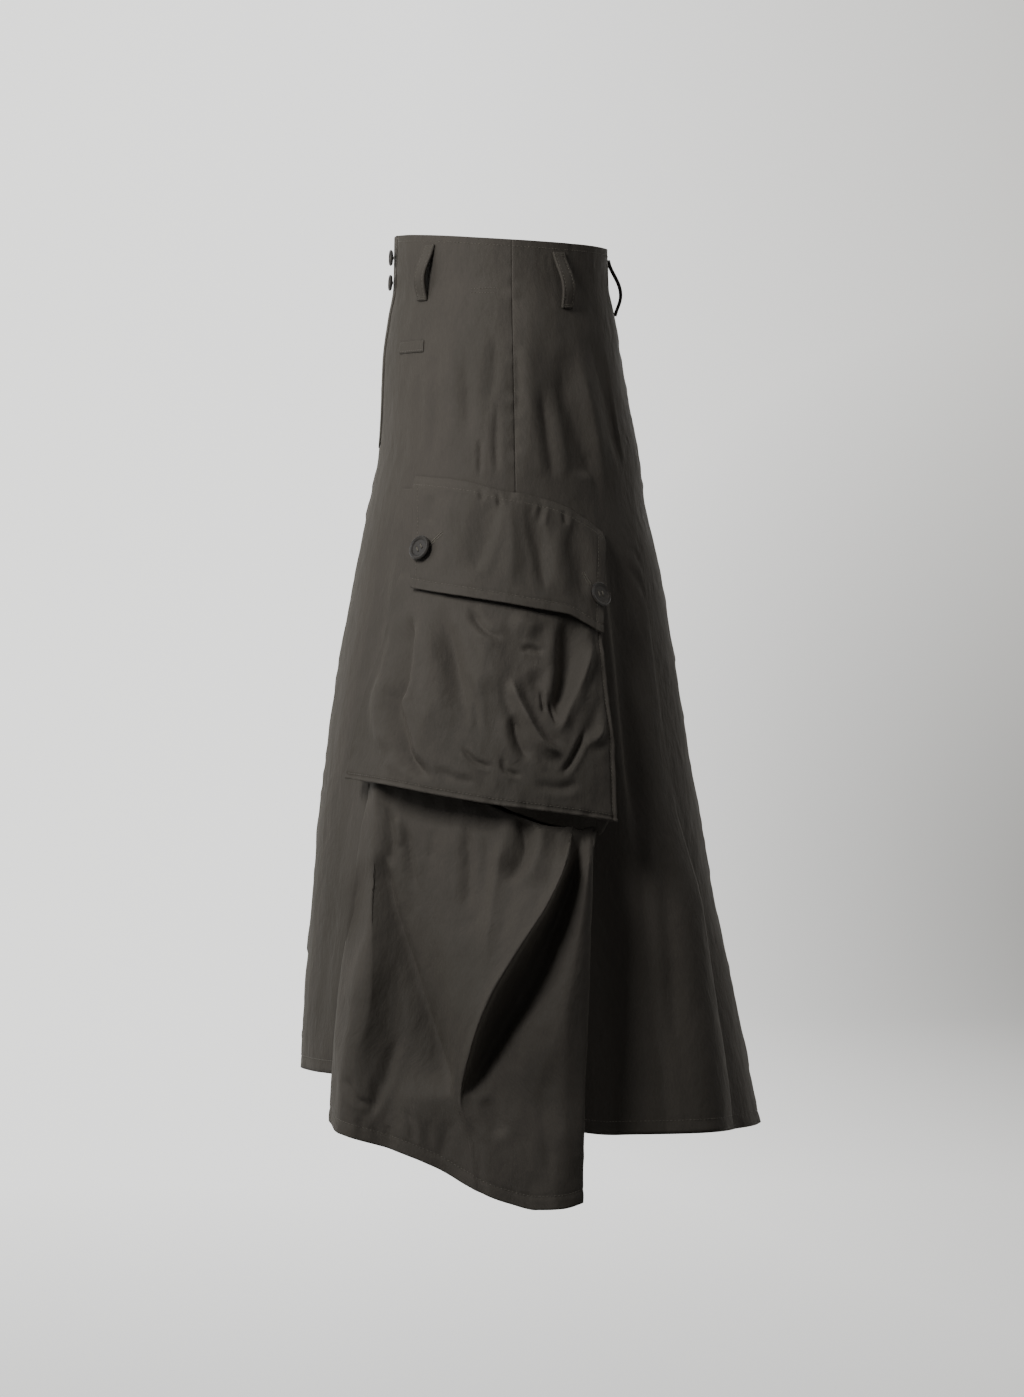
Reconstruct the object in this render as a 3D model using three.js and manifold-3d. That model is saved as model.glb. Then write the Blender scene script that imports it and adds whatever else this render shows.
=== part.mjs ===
// A long, flared cargo utility skirt in its worn form, hollow and open at the waist and the hem.
// Millimetres, +Z up. The origin is the centre of the waist opening. The front faces -Y, and the
// wearer's left side, with the bellows pocket and the side drape, faces +X.
// Every cloth wall is a grid of points on a surface, closed by the same grid moved inwards.
import * as THREE from "three";
import { mergeVertices } from "three/addons/utils/BufferGeometryUtils.js";
import Module from "manifold-3d";

const wasm = await Module();
wasm.setup();

// Driving sizes
const CLOTH = 1.4; // thickness of one wall of cloth
const SEAM = 0.35; // gap between two panels that are sewn together
const LAID = 0.7; // gap under a piece that lies on a panel
const SIDE_SEAM_TURN = 96; // the side seams lie a little behind the widest line
const PANEL = { rows: 24, crowd: 1.4 };
const FLY = { left: 30, right: -12, length: 190, round: 26 };
const LOOP = { width: 13, length: 52, drop: 9, lowness: 1.2, cloth: 1.6 };
const WELT = { fromTurn: 32.5, toTurn: 50, down: 96, height: 11 };
const WAIST_BUTTON = { across: 15, thick: 2.6, shank: 1.2, lateral: 24, downs: [14.4, 37.7] };
const FLAP_BUTTON = { across: 23, thick: 3.6, shank: 2.2 };

// Horizontal sections of the skirt: half depths to the front and back, half widths to each side
const SECTIONS = [
  { down: -8, front: 98.5, back: 99.5, left: 123, right: 123 },
  { down: 40, front: 99.5, back: 101, left: 128, right: 128 },
  { down: 70, front: 104.5, back: 107, left: 138, right: 138 },
  { down: 108, front: 109.5, back: 112.7, left: 151, right: 151 },
  { down: 164, front: 111.7, back: 123, left: 166, right: 166 },
  { down: 201, front: 114.5, back: 129.5, left: 173.5, right: 173.5 },
  { down: 239, front: 122, back: 134, left: 179, right: 180 },
  { down: 295, front: 133.2, back: 147.3, left: 188, right: 190 },
  { down: 370, front: 147.3, back: 159.4, left: 198, right: 203 },
  { down: 482, front: 163.2, back: 177.2, left: 209, right: 223 },
  { down: 613, front: 176.2, back: 200.6, left: 214, right: 248 },
  { down: 725, front: 184.7, back: 223.9, left: 214, right: 268 },
  { down: 840, front: 190, back: 246, left: 213, right: 288 },
];

// The cut edges of the main panels, by turn: 0 is the centre front, 90 the wearer's left side
const RIM = { front: -6, side: 3.7, back: 6 };
const HEM = { front: 768, back: 820, fromTurn: 60, toTurn: 118 };

// Soft vertical folds that open towards the hem; depth is negative for a trough
const BODY_FOLDS = [
  { turn: 118, half: 13, depth: -12, from: 260 },
  { turn: 141, half: 14, depth: 8, from: 300 },
  { turn: 205, half: 14, depth: -13, from: 260 },
  { turn: 229, half: 12, depth: 10, from: 330 },
  { turn: 252, half: 14, depth: -19, from: 280 },
  { turn: 277, half: 13, depth: 9, from: 360 },
  { turn: 301, half: 13, depth: -15, from: 300 },
  { turn: 326, half: 12, depth: 8, from: 340 },
];

// The pocket's side edges, and how far its face stands off the skirt, down its height
const POCKET_EDGES = [
  { along: 0, front: 42, back: 130.5, depth: 1.9 },
  { along: 0.25, front: 49.5, back: 124.5, depth: 6.5 },
  { along: 0.5, front: 48.5, back: 121.5, depth: 18 },
  { along: 0.75, front: 44.2, back: 120, depth: 31 },
  { along: 1, front: 42, back: 118.5, depth: 38 },
];
const POCKET_BOTTOM = [
  { turn: 40, down: 496.5 },
  { turn: 60, down: 502 },
  { turn: 75, down: 511 },
  { turn: 90, down: 520 },
  { turn: 105, down: 527.5 },
  { turn: 119, down: 535.5 },
];
const POCKET_TOP_BELOW_SEAM = 12;
const POCKET_FRONT_SHARE = 0.6; // how much less the front edge stands off
const FLANGE = 3; // the stitched edge that the face has beyond its gusset
const POCKET_WIDTH = 280;
const GUSSET = { from: 0.36, side: 0.28, pleat: 0.14, sagFrom: 84, sagFull: 104, sag: 16 };

// Folds of the slack pocket face: a line seen from the side, from y0 and down0 to y1 and down1
const POCKET_FOLDS = [
  { y0: -84, down0: 372, y1: -99, down1: 432, half: 10, depth: -5 },
  { y0: -99, down0: 432, y1: -74, down1: 492, half: 11, depth: -6 },
  { y0: -46, down0: 350, y1: -36, down1: 455, half: 14, depth: -7 },
  { y0: -70, down0: 380, y1: -62, down1: 450, half: 14, depth: 4 },
  { y0: -10, down0: 350, y1: -14, down1: 440, half: 20, depth: 6 },
  { y0: 22, down0: 380, y1: 32, down1: 440, half: 13, depth: -5 },
  { y0: 56, down0: 362, y1: 53, down1: 478, half: 12, depth: -11 },
  { y0: 78, down0: 385, y1: 66, down1: 470, half: 11, depth: 5 },
];

// The flap's seam and lower edge, by turn, and its front and back ends
const FLAP_SEAM = [
  { turn: 48, down: 220.5 },
  { turn: 78, down: 228.6 },
  { turn: 88, down: 235 },
  { turn: 101, down: 240 },
  { turn: 111, down: 246 },
  { turn: 124.5, down: 261.5 },
  { turn: 132, down: 274 },
];
const FLAP_EDGE = [
  { turn: 58, down: 323.6 },
  { turn: 77, down: 331.7 },
  { turn: 89, down: 337 },
  { turn: 100, down: 342.8 },
  { turn: 111, down: 348.5 },
  { turn: 116, down: 356 },
  { turn: 122, down: 366 },
];
const FLAP_ENDS = { frontTop: 48.6, frontBottom: 58.4, backTop: 131.5, backBottom: 121.9 };
const FLAP_LIFT = 5; // how far the lower edge stands off the pocket

// Sections of the side drape, each point as [y, x], from its front fold to its back fold.
// The crest overhangs the hollow beside it, and both run out where the tongue ends.
const DRAPE = [
  { down: 515, frontFold: [-119.5, 160], ridge: [-111, 178], valley: [-105, 181], crest: [66, 240], floor: [74, 224], shelf: [78, 229], backFold: [86, 226] },
  { down: 545, frontFold: [-126, 160], ridge: [-113, 184], valley: [-106.5, 187], crest: [64, 252], floor: [72.5, 224], shelf: [76.5, 231], backFold: [85.3, 227] },
  { down: 570, frontFold: [-129.7, 159], ridge: [-114, 188], valley: [-106, 190], crest: [59, 258], floor: [69, 224], shelf: [75, 233], backFold: [84.4, 228] },
  { down: 605, frontFold: [-135.2, 158], ridge: [-115.7, 194], valley: [-99.4, 194], crest: [43.7, 268], floor: [59.3, 225], shelf: [68, 237], backFold: [83, 229] },
  { down: 645, frontFold: [-140.2, 158], ridge: [-115.6, 201], valley: [-87.6, 199], crest: [17.9, 276], floor: [42.2, 227], shelf: [56.4, 241], backFold: [81.2, 230] },
  { down: 695, frontFold: [-146.3, 158], ridge: [-117, 207], valley: [-71.3, 207], crest: [-11.5, 277], floor: [18.8, 229], shelf: [39.4, 245], backFold: [79.4, 231] },
  { down: 740, frontFold: [-151.5, 160], ridge: [-126, 210], valley: [-55, 217], crest: [-27, 266], floor: [-8, 234], shelf: [9, 247], backFold: [78, 232] },
  { down: 785, frontFold: [-155, 161], ridge: [-134, 211], valley: [-44, 238], crest: [-35.5, 246], floor: [-27, 244], shelf: [-12, 247], backFold: [76.5, 233] },
  { down: 825, frontFold: [-156.5, 162], ridge: [-139, 210], valley: [-34, 243], crest: [-19, 246], floor: [-4, 248], shelf: [16, 249], backFold: [75.5, 234] },
  { down: 885, frontFold: [-157.5, 162], ridge: [-141, 209], valley: [-30, 243], crest: [-12, 246], floor: [5, 248], shelf: [24, 249], backFold: [74.4, 234] },
];
const DRAPE_HEM = [
  { y: -160, down: 806 },
  { y: -150, down: 812 },
  { y: -125, down: 821 },
  { y: -90, down: 832 },
  { y: -60, down: 845 },
  { y: -27, down: 864 },
  { y: 0, down: 876 },
  { y: 27, down: 882 },
  { y: 55, down: 881 },
  { y: 78, down: 876 },
];
// The crest's sharp edge, and how far the face of the tongue swells out in front of it
const CREST = { before: 6, swell: 4, wide: 80, lipBack: 0.22, lipIn: 0.5 };
const DRAPE_RETURN = 24; // depth of cloth turned back behind each fold
const DRAPE_TUCK = { inside: 15, eases: 36, below: 4.2 }; // its top hangs from inside the pocket's lower edge

const rad = THREE.MathUtils.degToRad;
const deg = THREE.MathUtils.radToDeg;
const { lerp, clamp, smoothstep } = THREE.MathUtils;

// Reads a table at a key: a curve through its rows that never overshoots them.
function read(table, key, at, value) {
  const x = table.map((row) => row[key]);
  const y = table.map(typeof value === "string" ? (row) => row[value] : value);
  const t = clamp(at, x[0], x[x.length - 1]);
  const i = clamp(x.findIndex((v) => v > t) - 1, 0, x.length - 2);
  const j = t >= x[x.length - 1] ? x.length - 2 : i;
  const slope = (k) => (y[k + 1] - y[k]) / (x[k + 1] - x[k]);
  const tangent = (k) => {
    if (k === 0 || k === x.length - 1) return slope(Math.min(k, x.length - 2));
    const [a, b] = [slope(k - 1), slope(k)];
    return a * b > 0 ? (2 * a * b) / (a + b) : 0;
  };
  const h = x[j + 1] - x[j];
  const u = (t - x[j]) / h;
  const [m0, m1] = [tangent(j) * h, tangent(j + 1) * h];
  return (
    (2 * u ** 3 - 3 * u ** 2 + 1) * y[j] +
    (u ** 3 - 2 * u ** 2 + u) * m0 +
    (3 * u ** 2 - 2 * u ** 3) * y[j + 1] +
    (u ** 3 - u ** 2) * m1
  );
}

// 1 on a fold's line, falling smoothly to 0 at its half width
const swell = (distance, half) =>
  Math.abs(distance) < half ? Math.cos((Math.PI / 2) * (distance / half)) ** 2 : 0;

// The half depth and half width that the skirt has at a turn and a height
function radii(turn, down) {
  return {
    across: read(SECTIONS, "down", down, Math.sin(rad(turn)) >= 0 ? "left" : "right"),
    deep: read(SECTIONS, "down", down, Math.cos(rad(turn)) >= 0 ? "front" : "back"),
  };
}

// A point of the skirt's outer surface, moved outwards by a distance
function onBody(turn, down, outwards = 0) {
  const { across, deep } = radii(turn, down);
  const [s, c] = [Math.sin(rad(turn)), Math.cos(rad(turn))];
  const normal = new THREE.Vector3(s / across, -c / deep, 0).normalize();
  const round = ((turn % 360) + 360) % 360;
  const fold = BODY_FOLDS.reduce(
    (sum, f) => sum + f.depth * swell(round - f.turn, f.half) * smoothstep(down, f.from, 820),
    0,
  );
  return new THREE.Vector3(across * s, -deep * c, -down).addScaledVector(normal, fold + outwards);
}

// The turn at which a point of the plan lies
function turnOf(y, x, down) {
  const first = radii(x >= 0 ? 90 : 270, down).across;
  const deep = read(SECTIONS, "down", down, y <= 0 ? "front" : "back");
  return deg(Math.atan2(x / first, -y / deep));
}

const rimDown = (turn) => {
  const c = Math.cos(rad(turn));
  return (c > 0 ? RIM.front : -RIM.back) * c + RIM.side * Math.sin(rad(turn)) ** 2;
};

const hemDown = (turn) => {
  const round = Math.abs(((turn + 180) % 360) - 180);
  return lerp(HEM.front, HEM.back, smoothstep(round, HEM.fromTurn, HEM.toTurn));
};

// The points of a surface, row by row; point(u, v) gives one, u down and v across, from 0 to 1
function sample(rows, columns, point) {
  const grid = [];
  for (let i = 0; i <= rows; i++)
    for (let j = 0; j <= columns; j++) grid.push(point(i / rows, j / columns));
  return grid;
}

// The closed wall between two grids of the same size, the outer one first
function wall(rows, columns, grid, inner) {
  const index = [];
  const face = (a, b, c, d) => index.push(a, b, c, a, c, d);
  const id = (i, j) => i * (columns + 1) + j;
  const far = grid.length;
  for (let i = 0; i < rows; i++)
    for (let j = 0; j < columns; j++) {
      face(id(i, j), id(i + 1, j), id(i + 1, j + 1), id(i, j + 1));
      face(far + id(i, j), far + id(i, j + 1), far + id(i + 1, j + 1), far + id(i + 1, j));
    }
  for (let j = 0; j < columns; j++) {
    face(id(0, j), id(0, j + 1), far + id(0, j + 1), far + id(0, j));
    face(id(rows, j + 1), id(rows, j), far + id(rows, j), far + id(rows, j + 1));
  }
  for (let i = 0; i < rows; i++) {
    face(id(i + 1, 0), id(i, 0), far + id(i, 0), far + id(i + 1, 0));
    face(id(i, columns), id(i + 1, columns), far + id(i + 1, columns), far + id(i, columns));
  }
  const geometry = new THREE.BufferGeometry();
  geometry.setFromPoints([...grid, ...inner]);
  geometry.setIndex(index);
  geometry.computeVertexNormals();
  return geometry;
}

// Cloth that lies on the skirt: place(u, v) gives its turn, its height and how far it stands off.
function laidCloth(rows, columns, place, thick = CLOTH) {
  const side = (sunk) =>
    sample(rows, columns, (u, v) => {
      const { turn, down, stand } = place(u, v);
      return onBody(turn, down, stand - sunk);
    });
  return wall(rows, columns, side(0), side(thick));
}

// Cloth that hangs free: its inner side is its outer one, moved in square to the surface.
function freeCloth(rows, columns, point) {
  const grid = sample(rows, columns, point);
  const at = (i, j) => grid[clamp(i, 0, rows) * (columns + 1) + clamp(j, 0, columns)];
  const inner = grid.map((p, k) => {
    const [i, j] = [Math.floor(k / (columns + 1)), k % (columns + 1)];
    const down = new THREE.Vector3().subVectors(at(i + 1, j), at(i - 1, j));
    const across = new THREE.Vector3().subVectors(at(i, j + 1), at(i, j - 1));
    return p.clone().addScaledVector(down.cross(across).normalize(), -CLOTH);
  });
  return wall(rows, columns, grid, inner);
}

// Millimetres of cloth to one degree of turn
function step(turn, down) {
  const { across, deep } = radii(turn, down);
  return rad(Math.hypot(across * Math.cos(rad(turn)), deep * Math.sin(rad(turn))));
}

// The main panels: each runs from one seam to the next and from the waist to the hem.
// Their rows lie closer together towards the waist, where the skirt is most rounded.
function panel(fromTurn, toTurn, columns) {
  return laidCloth(PANEL.rows, columns, (u, v) => {
    const low = u ** PANEL.crowd;
    const from = fromTurn + SEAM / 2 / step(fromTurn, HEM.back * low);
    const to = toTurn - SEAM / 2 / step(toTurn, HEM.back * low);
    const turn = lerp(from, to, v);
    return { turn, down: lerp(rimDown(turn), hemDown(turn), low), stand: 0 };
  });
}

// The fly lap on the centre front, with a round lower corner on its free edge.
function flyLap() {
  return laidCloth(12, 4, (u, v) => {
    const down = lerp(rimDown(0), FLY.length, 1 - (1 - u) ** 1.5);
    const over = Math.max(0, down - (FLY.length - FLY.round)) / FLY.round;
    const edge = FLY.left - FLY.round * (1 - Math.sqrt(Math.max(0, 1 - over ** 2)));
    const lateral = lerp(FLY.right, Math.max(edge, FLY.right + 4), v);
    const turn = deg(Math.asin(lateral / radii(90, down).across));
    return { turn, down, stand: LAID + CLOTH };
  });
}

// A belt loop: a folded strap, sewn flat at its ends and standing off a little below its middle.
function beltLoop(topTurn, bottomTurn, bulge) {
  const place = (u, v) => {
    const middle = lerp(topTurn, bottomTurn, u);
    const down = rimDown(middle) + LOOP.drop + LOOP.length * u;
    const turn = middle + ((v - 0.5) * LOOP.width) / step(middle, down);
    const arch = Math.sin(Math.PI * u ** LOOP.lowness) ** 1.3;
    return { turn, down, stand: LAID + LOOP.cloth + bulge * arch };
  };
  return laidCloth(10, 2, place, LOOP.cloth);
}

// The small welt on the left front.
function coinWelt() {
  return laidCloth(1, 6, (u, v) => ({
    turn: lerp(WELT.fromTurn, WELT.toTurn, v),
    down: WELT.down + WELT.height * u,
    stand: LAID + CLOTH,
  }));
}

const flapSeamDown = (turn) => read(FLAP_SEAM, "turn", turn, "down");

// Where a place of the pocket lies: s runs from its front edge to its back, t from top to bottom.
function pocketPlace(s, t) {
  const front = read(POCKET_EDGES, "along", t, "front");
  const back = read(POCKET_EDGES, "along", t, "back");
  const turn = lerp(front, back, s);
  const top = flapSeamDown(turn) + POCKET_TOP_BELOW_SEAM;
  return { turn, down: lerp(top, read(POCKET_BOTTOM, "turn", turn, "down"), t) };
}

// How far the pocket's face stands off the skirt, without its folds
function pocketDepth(s, t) {
  const depth = read(POCKET_EDGES, "along", t, "depth");
  const share = lerp(POCKET_FRONT_SHARE, 1, smoothstep(s, 0, 0.32));
  return Math.max(depth * share, LAID + CLOTH);
}

// Distance from a point to a straight line between two others
function lineDistance(y, down, f) {
  const [dy, dd] = [f.y1 - f.y0, f.down1 - f.down0];
  const k = clamp(((y - f.y0) * dy + (down - f.down0) * dd) / (dy * dy + dd * dd), 0, 1);
  return Math.hypot(y - f.y0 - k * dy, down - f.down0 - k * dd);
}

function pocketFolds(y, down, s, t) {
  const free = smoothstep(t, 0.3, 0.42) * smoothstep(1 - t, 0.02, 0.12);
  const inside = smoothstep(s, 0, 0.1) * smoothstep(1 - s, 0, 0.08);
  const folds = POCKET_FOLDS.map((f) => f.depth * swell(lineDistance(y, down, f), f.half));
  return free * inside * folds.reduce((a, b) => a + b, 0);
}

// The pocket's face, which stands off the skirt more and more towards its lower edge.
function pocketFace() {
  return laidCloth(20, 24, (t, v) => {
    const s = lerp(v, smoothstep(v, 0, 1), 0.6);
    const { turn, down } = pocketPlace(s, t);
    const depth = pocketDepth(s, t);
    const flat = onBody(turn, down, depth);
    return { turn, down, stand: depth + pocketFolds(flat.y, down, s, t) };
  });
}

// The gusset: one strip down the front side, along the bottom and up the back side.
// Its sides are pleated inwards, and its bottom sags towards the back.
function pocketGusset() {
  const { side, from } = GUSSET;
  const inset = FLANGE / POCKET_WIDTH;
  return freeCloth(4, 36, (r, w) => {
    const bulge = Math.sin(Math.PI * r) ** 2;
    const t = lerp(from, 1 - inset, clamp(Math.min(w, 1 - w) / side, 0, 1));
    const along = clamp((w - side) / (1 - 2 * side), 0, 1);
    const pleat = (GUSSET.pleat * pocketDepth(along, t) * bulge) / POCKET_WIDTH;
    const s = lerp(inset + pleat, 1 - inset - pleat, along);
    const { turn, down } = pocketPlace(s, t);
    const low = smoothstep(turn, GUSSET.sagFrom, GUSSET.sagFull) * smoothstep(t, 0.9, 1 - inset);
    const top = pocketDepth(s, t) - CLOTH - LAID;
    return onBody(turn, down + GUSSET.sag * bulge * low, lerp(top, 2 * LAID, r));
  });
}

// How far the pocket's closed flap stands off the skirt
function flapStand(turn, down) {
  const below = down - flapSeamDown(turn);
  const reach = read(FLAP_EDGE, "turn", turn, "down") - flapSeamDown(turn);
  const front = read(POCKET_EDGES, "along", 0.25, "front");
  const back = read(POCKET_EDGES, "along", 0.25, "back");
  const t = clamp((below - POCKET_TOP_BELOW_SEAM) / 270, 0, 1);
  const under = pocketDepth(clamp((turn - front) / (back - front), 0, 1), t);
  const over = lerp(LAID + CLOTH, under + LAID + CLOTH + 0.4, smoothstep(below, 0, 9));
  return over + FLAP_LIFT * smoothstep(below / reach, 0.35, 1);
}

function flap() {
  return laidCloth(9, 20, (u, v) => {
    const top = lerp(FLAP_ENDS.frontTop, FLAP_ENDS.backTop, v);
    const bottom = lerp(FLAP_ENDS.frontBottom, FLAP_ENDS.backBottom, v);
    const turn = lerp(top, bottom, u);
    const down = lerp(flapSeamDown(turn), read(FLAP_EDGE, "turn", turn, "down"), u);
    return { turn, down, stand: flapStand(turn, down) };
  });
}

const mix = (a, b, k) => [lerp(a[0], b[0], k), lerp(a[1], b[1], k)];

// The named points of the drape's section at a height, each [y, x], from front to back.
function drapeSection(down) {
  const row = {};
  for (const name of Object.keys(DRAPE[0]).slice(1))
    row[name] = [0, 1].map((k) => read(DRAPE, "down", down, (r) => r[name][k]));
  const { frontFold, ridge, valley, crest, floor, shelf, backFold } = row;
  const onSkirt = (y) => {
    const deep = read(SECTIONS, "down", down, y < 0 ? "front" : "back");
    const p = onBody(deg(Math.acos(clamp(-y / deep, -1, 1))), down, 2 * LAID + CLOTH / 2);
    return [p.y, p.x];
  };
  const face = mix(valley, crest, 0.5);
  const wide = crest[0] - valley[0];
  const near = mix(crest, valley, Math.min(CREST.before / wide, 0.25));
  const sheet = mix(shelf, backFold, 0.5);
  return [
    onSkirt(frontFold[0] + DRAPE_RETURN),
    frontFold,
    ridge,
    valley,
    [face[0], face[1] + CREST.swell * Math.min(1, wide / CREST.wide)],
    near,
    crest,
    [lerp(crest[0], floor[0], CREST.lipBack), lerp(crest[1], floor[1], CREST.lipIn)],
    floor,
    shelf,
    [sheet[0], Math.max(shelf[1], backFold[1]) + 3],
    backFold,
    onSkirt(backFold[0] - DRAPE_RETURN),
  ];
}

// A place on that section; v runs from 0 to 1 with the same share for each named point.
function drapePlan(down, v) {
  const rows = drapeSection(down).map(([y, x], k) => ({ k, y, x }));
  const at = v * (rows.length - 1);
  return { y: read(rows, "k", at, "y"), x: read(rows, "k", at, "x") };
}

// The lower side of the gusset at a plan position, which the drape hangs from
function gussetUnder(y, x, down) {
  const turn = turnOf(y, x, down);
  const skirt = onBody(turn, down);
  const stand = Math.hypot(x, y) - Math.hypot(skirt.x, skirt.y);
  const r = clamp(1 - stand / 34, 0, 1);
  const bulge = Math.sin(Math.PI * r) ** 2;
  const sag = GUSSET.sag * bulge * smoothstep(turn, GUSSET.sagFrom, GUSSET.sagFull);
  return read(POCKET_BOTTOM, "turn", turn, "down") - FLANGE + sag;
}

// The side drape: a panel that hangs from inside the pocket's lower edge, folded back at both
// sides, whose fullness falls in a tongue that overhangs a deep slanting hollow.
function sideDrape() {
  return freeCloth(20, 36, (u, v) => {
    const guess = drapePlan(540, v);
    const turn = turnOf(guess.y, guess.x, 540);
    const limit = onBody(turn, 520, pocketDepth(0.5, 1) - DRAPE_TUCK.inside);
    const tuck = Math.min(guess.x, limit.x);
    const top = gussetUnder(guess.y, tuck, 530) + DRAPE_TUCK.below;
    const hem = read(DRAPE_HEM, "y", drapePlan(830, v).y, "down");
    const down = lerp(top, hem, u);
    const plan = drapePlan(down, v);
    const eased = smoothstep(down - top, 0, DRAPE_TUCK.eases);
    return new THREE.Vector3(lerp(tuck, plan.x, eased), plan.y, -down);
  });
}

function solidOf(geometry) {
  const bare = geometry.clone();
  bare.deleteAttribute("normal");
  bare.deleteAttribute("uv");
  const merged = mergeVertices(bare, 1e-4);
  return new wasm.Manifold(
    new wasm.Mesh({
      numProp: 3,
      vertProperties: merged.attributes.position.array,
      triVerts: new Uint32Array(merged.index.array),
    }),
  );
}

function geometryOf(solid) {
  const mesh = solid.getMesh();
  const geometry = new THREE.BufferGeometry();
  geometry.setAttribute("position", new THREE.BufferAttribute(mesh.vertProperties, 3));
  geometry.setIndex(new THREE.BufferAttribute(mesh.triVerts, 1));
  geometry.computeVertexNormals();
  return geometry;
}

// A round four-hole button with a raised rim, on a short thread shank. Its axis is Y.
function button({ across, thick, shank }) {
  const r = across / 2;
  const profile = [
    [0, -shank],
    [r * 0.22, -shank],
    [r * 0.22, 0],
    [r * 0.86, 0],
    [r, thick * 0.35],
    [r, thick * 0.7],
    [r * 0.9, thick],
    [r * 0.76, thick * 0.86],
    [r * 0.66, thick * 0.6],
    [0, thick * 0.6],
  ];
  const disc = new THREE.LatheGeometry(profile.map(([x, y]) => new THREE.Vector2(x, y)), 20);
  let solid = solidOf(disc);
  for (const [i, j] of [[1, 1], [1, -1], [-1, 1], [-1, -1]]) {
    const hole = new THREE.CylinderGeometry(r * 0.09, r * 0.09, thick, 6);
    hole.translate(i * r * 0.2, thick * 0.75, j * r * 0.2);
    solid = solid.subtract(solidOf(hole));
  }
  return geometryOf(solid);
}

// Materials
const cloth = new THREE.MeshStandardMaterial({ color: 0x4d4941, roughness: 0.82, metalness: 0 });
const horn = new THREE.MeshStandardMaterial({ color: 0x2c2824, roughness: 0.35, metalness: 0 });

const skirt = new THREE.Group();

function add(name, geometry, material = cloth) {
  const mesh = new THREE.Mesh(geometry, material);
  mesh.name = name;
  skirt.add(mesh);
  return mesh;
}

// Sets a button flat on the cloth that stands off the skirt by stand(turn, down).
function addButton(name, size, turn, down, stand) {
  const at = (dt, dd) => onBody(turn + dt, down + dd, stand(turn + dt, down + dd));
  const below = at(0, 6).sub(at(0, -6));
  const facing = below.cross(at(3, 0).sub(at(-3, 0))).normalize();
  const mesh = add(name, button(size), horn);
  mesh.position.copy(at(0, 0)).addScaledVector(facing, size.shank + SEAM);
  mesh.quaternion.setFromUnitVectors(new THREE.Vector3(0, 1, 0), facing);
}

add("front_left", panel(0, SIDE_SEAM_TURN, 20));
add("back_left", panel(SIDE_SEAM_TURN, 180, 17));
add("back_right", panel(180, 360 - SIDE_SEAM_TURN, 19));
add("front_right", panel(360 - SIDE_SEAM_TURN, 360, 20));
add("fly_lap", flyLap());
WAIST_BUTTON.downs.forEach((down, i) => {
  const turn = deg(Math.asin(WAIST_BUTTON.lateral / radii(90, down).across));
  addButton("waist_button_" + (i + 1), WAIST_BUTTON, turn, down, () => LAID + CLOTH);
});
add("belt_loop_front_left", beltLoop(49.3, 46, 8.5));
add("belt_loop_side_left", beltLoop(122, 125, 9));
add("belt_loop_back", beltLoop(180, 180, 10));
add("belt_loop_side_right", beltLoop(238, 235, 9));
add("belt_loop_front_right", beltLoop(310.7, 314, 8.5));
add("coin_welt", coinWelt());
add("cargo_pocket", pocketFace());
add("pocket_gusset", pocketGusset());
add("cargo_flap", flap());
addButton("flap_button_front", FLAP_BUTTON, 60.5, 289, flapStand);
addButton("flap_button_back", FLAP_BUTTON, 122.3, 331, flapStand);
add("side_drape", sideDrape());

export default skirt;
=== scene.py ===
"""The looks of a long, flared cargo utility skirt in its worn form.

Sizes are in millimetres until a mesh is made, in the frame of the part: +Z up, the front at -Y,
the left side, as worn, at +X. Every cloth piece is a surface of two parameters, u down the piece
and v across it, closed by the same surface moved inwards. "Turn" is the angle round the skirt in
degrees, 0 at the centre front and 90 at the left side, and "down" is the depth below the waist.
"""

import math

import bpy
import numpy as np
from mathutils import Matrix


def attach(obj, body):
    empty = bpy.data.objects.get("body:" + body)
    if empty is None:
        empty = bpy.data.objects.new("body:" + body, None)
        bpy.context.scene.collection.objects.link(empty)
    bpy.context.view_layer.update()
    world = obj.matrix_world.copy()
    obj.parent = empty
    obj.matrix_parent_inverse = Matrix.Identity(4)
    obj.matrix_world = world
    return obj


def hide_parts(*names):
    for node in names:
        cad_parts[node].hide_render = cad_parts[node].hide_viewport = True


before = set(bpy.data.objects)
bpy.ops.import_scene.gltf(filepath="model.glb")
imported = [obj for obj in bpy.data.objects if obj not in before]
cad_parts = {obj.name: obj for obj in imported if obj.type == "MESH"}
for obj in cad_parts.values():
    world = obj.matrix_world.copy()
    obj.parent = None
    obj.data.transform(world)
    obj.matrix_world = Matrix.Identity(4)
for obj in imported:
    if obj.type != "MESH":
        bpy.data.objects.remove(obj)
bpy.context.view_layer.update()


def table(columns, *rows):
    """Rows as dicts, by the names of their columns. A short row leaves out the last of them."""
    return [dict(zip(columns.split(), row)) for row in rows]


# Driving sizes
CLOTH = 1.4  # the cloth's wall
SEAM = -0.12  # sewn edges overlap by a hair, so that no light shows between them
LAID = 0.7  # between a wall and what lies loosely on it
FLUSH = 0.8  # how far a piece sewn flat on a panel stands off it
SINK = 1.4  # how far the panel gives way under such a piece
SIDE_SEAM_TURN = 96
PANEL_CROWD = 1.4  # above 1, a panel's rows crowd towards the waist
FLY = {"left": 30, "right": -12, "length": 190, "round": 26}
LOOP = {"width": 13, "length": 52, "drop": 9, "lowness": 1.2, "cloth": 1.6, "folded": 2.6}
WELT = {"from": 32.5, "to": 50, "down": 96, "height": 11}

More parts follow.
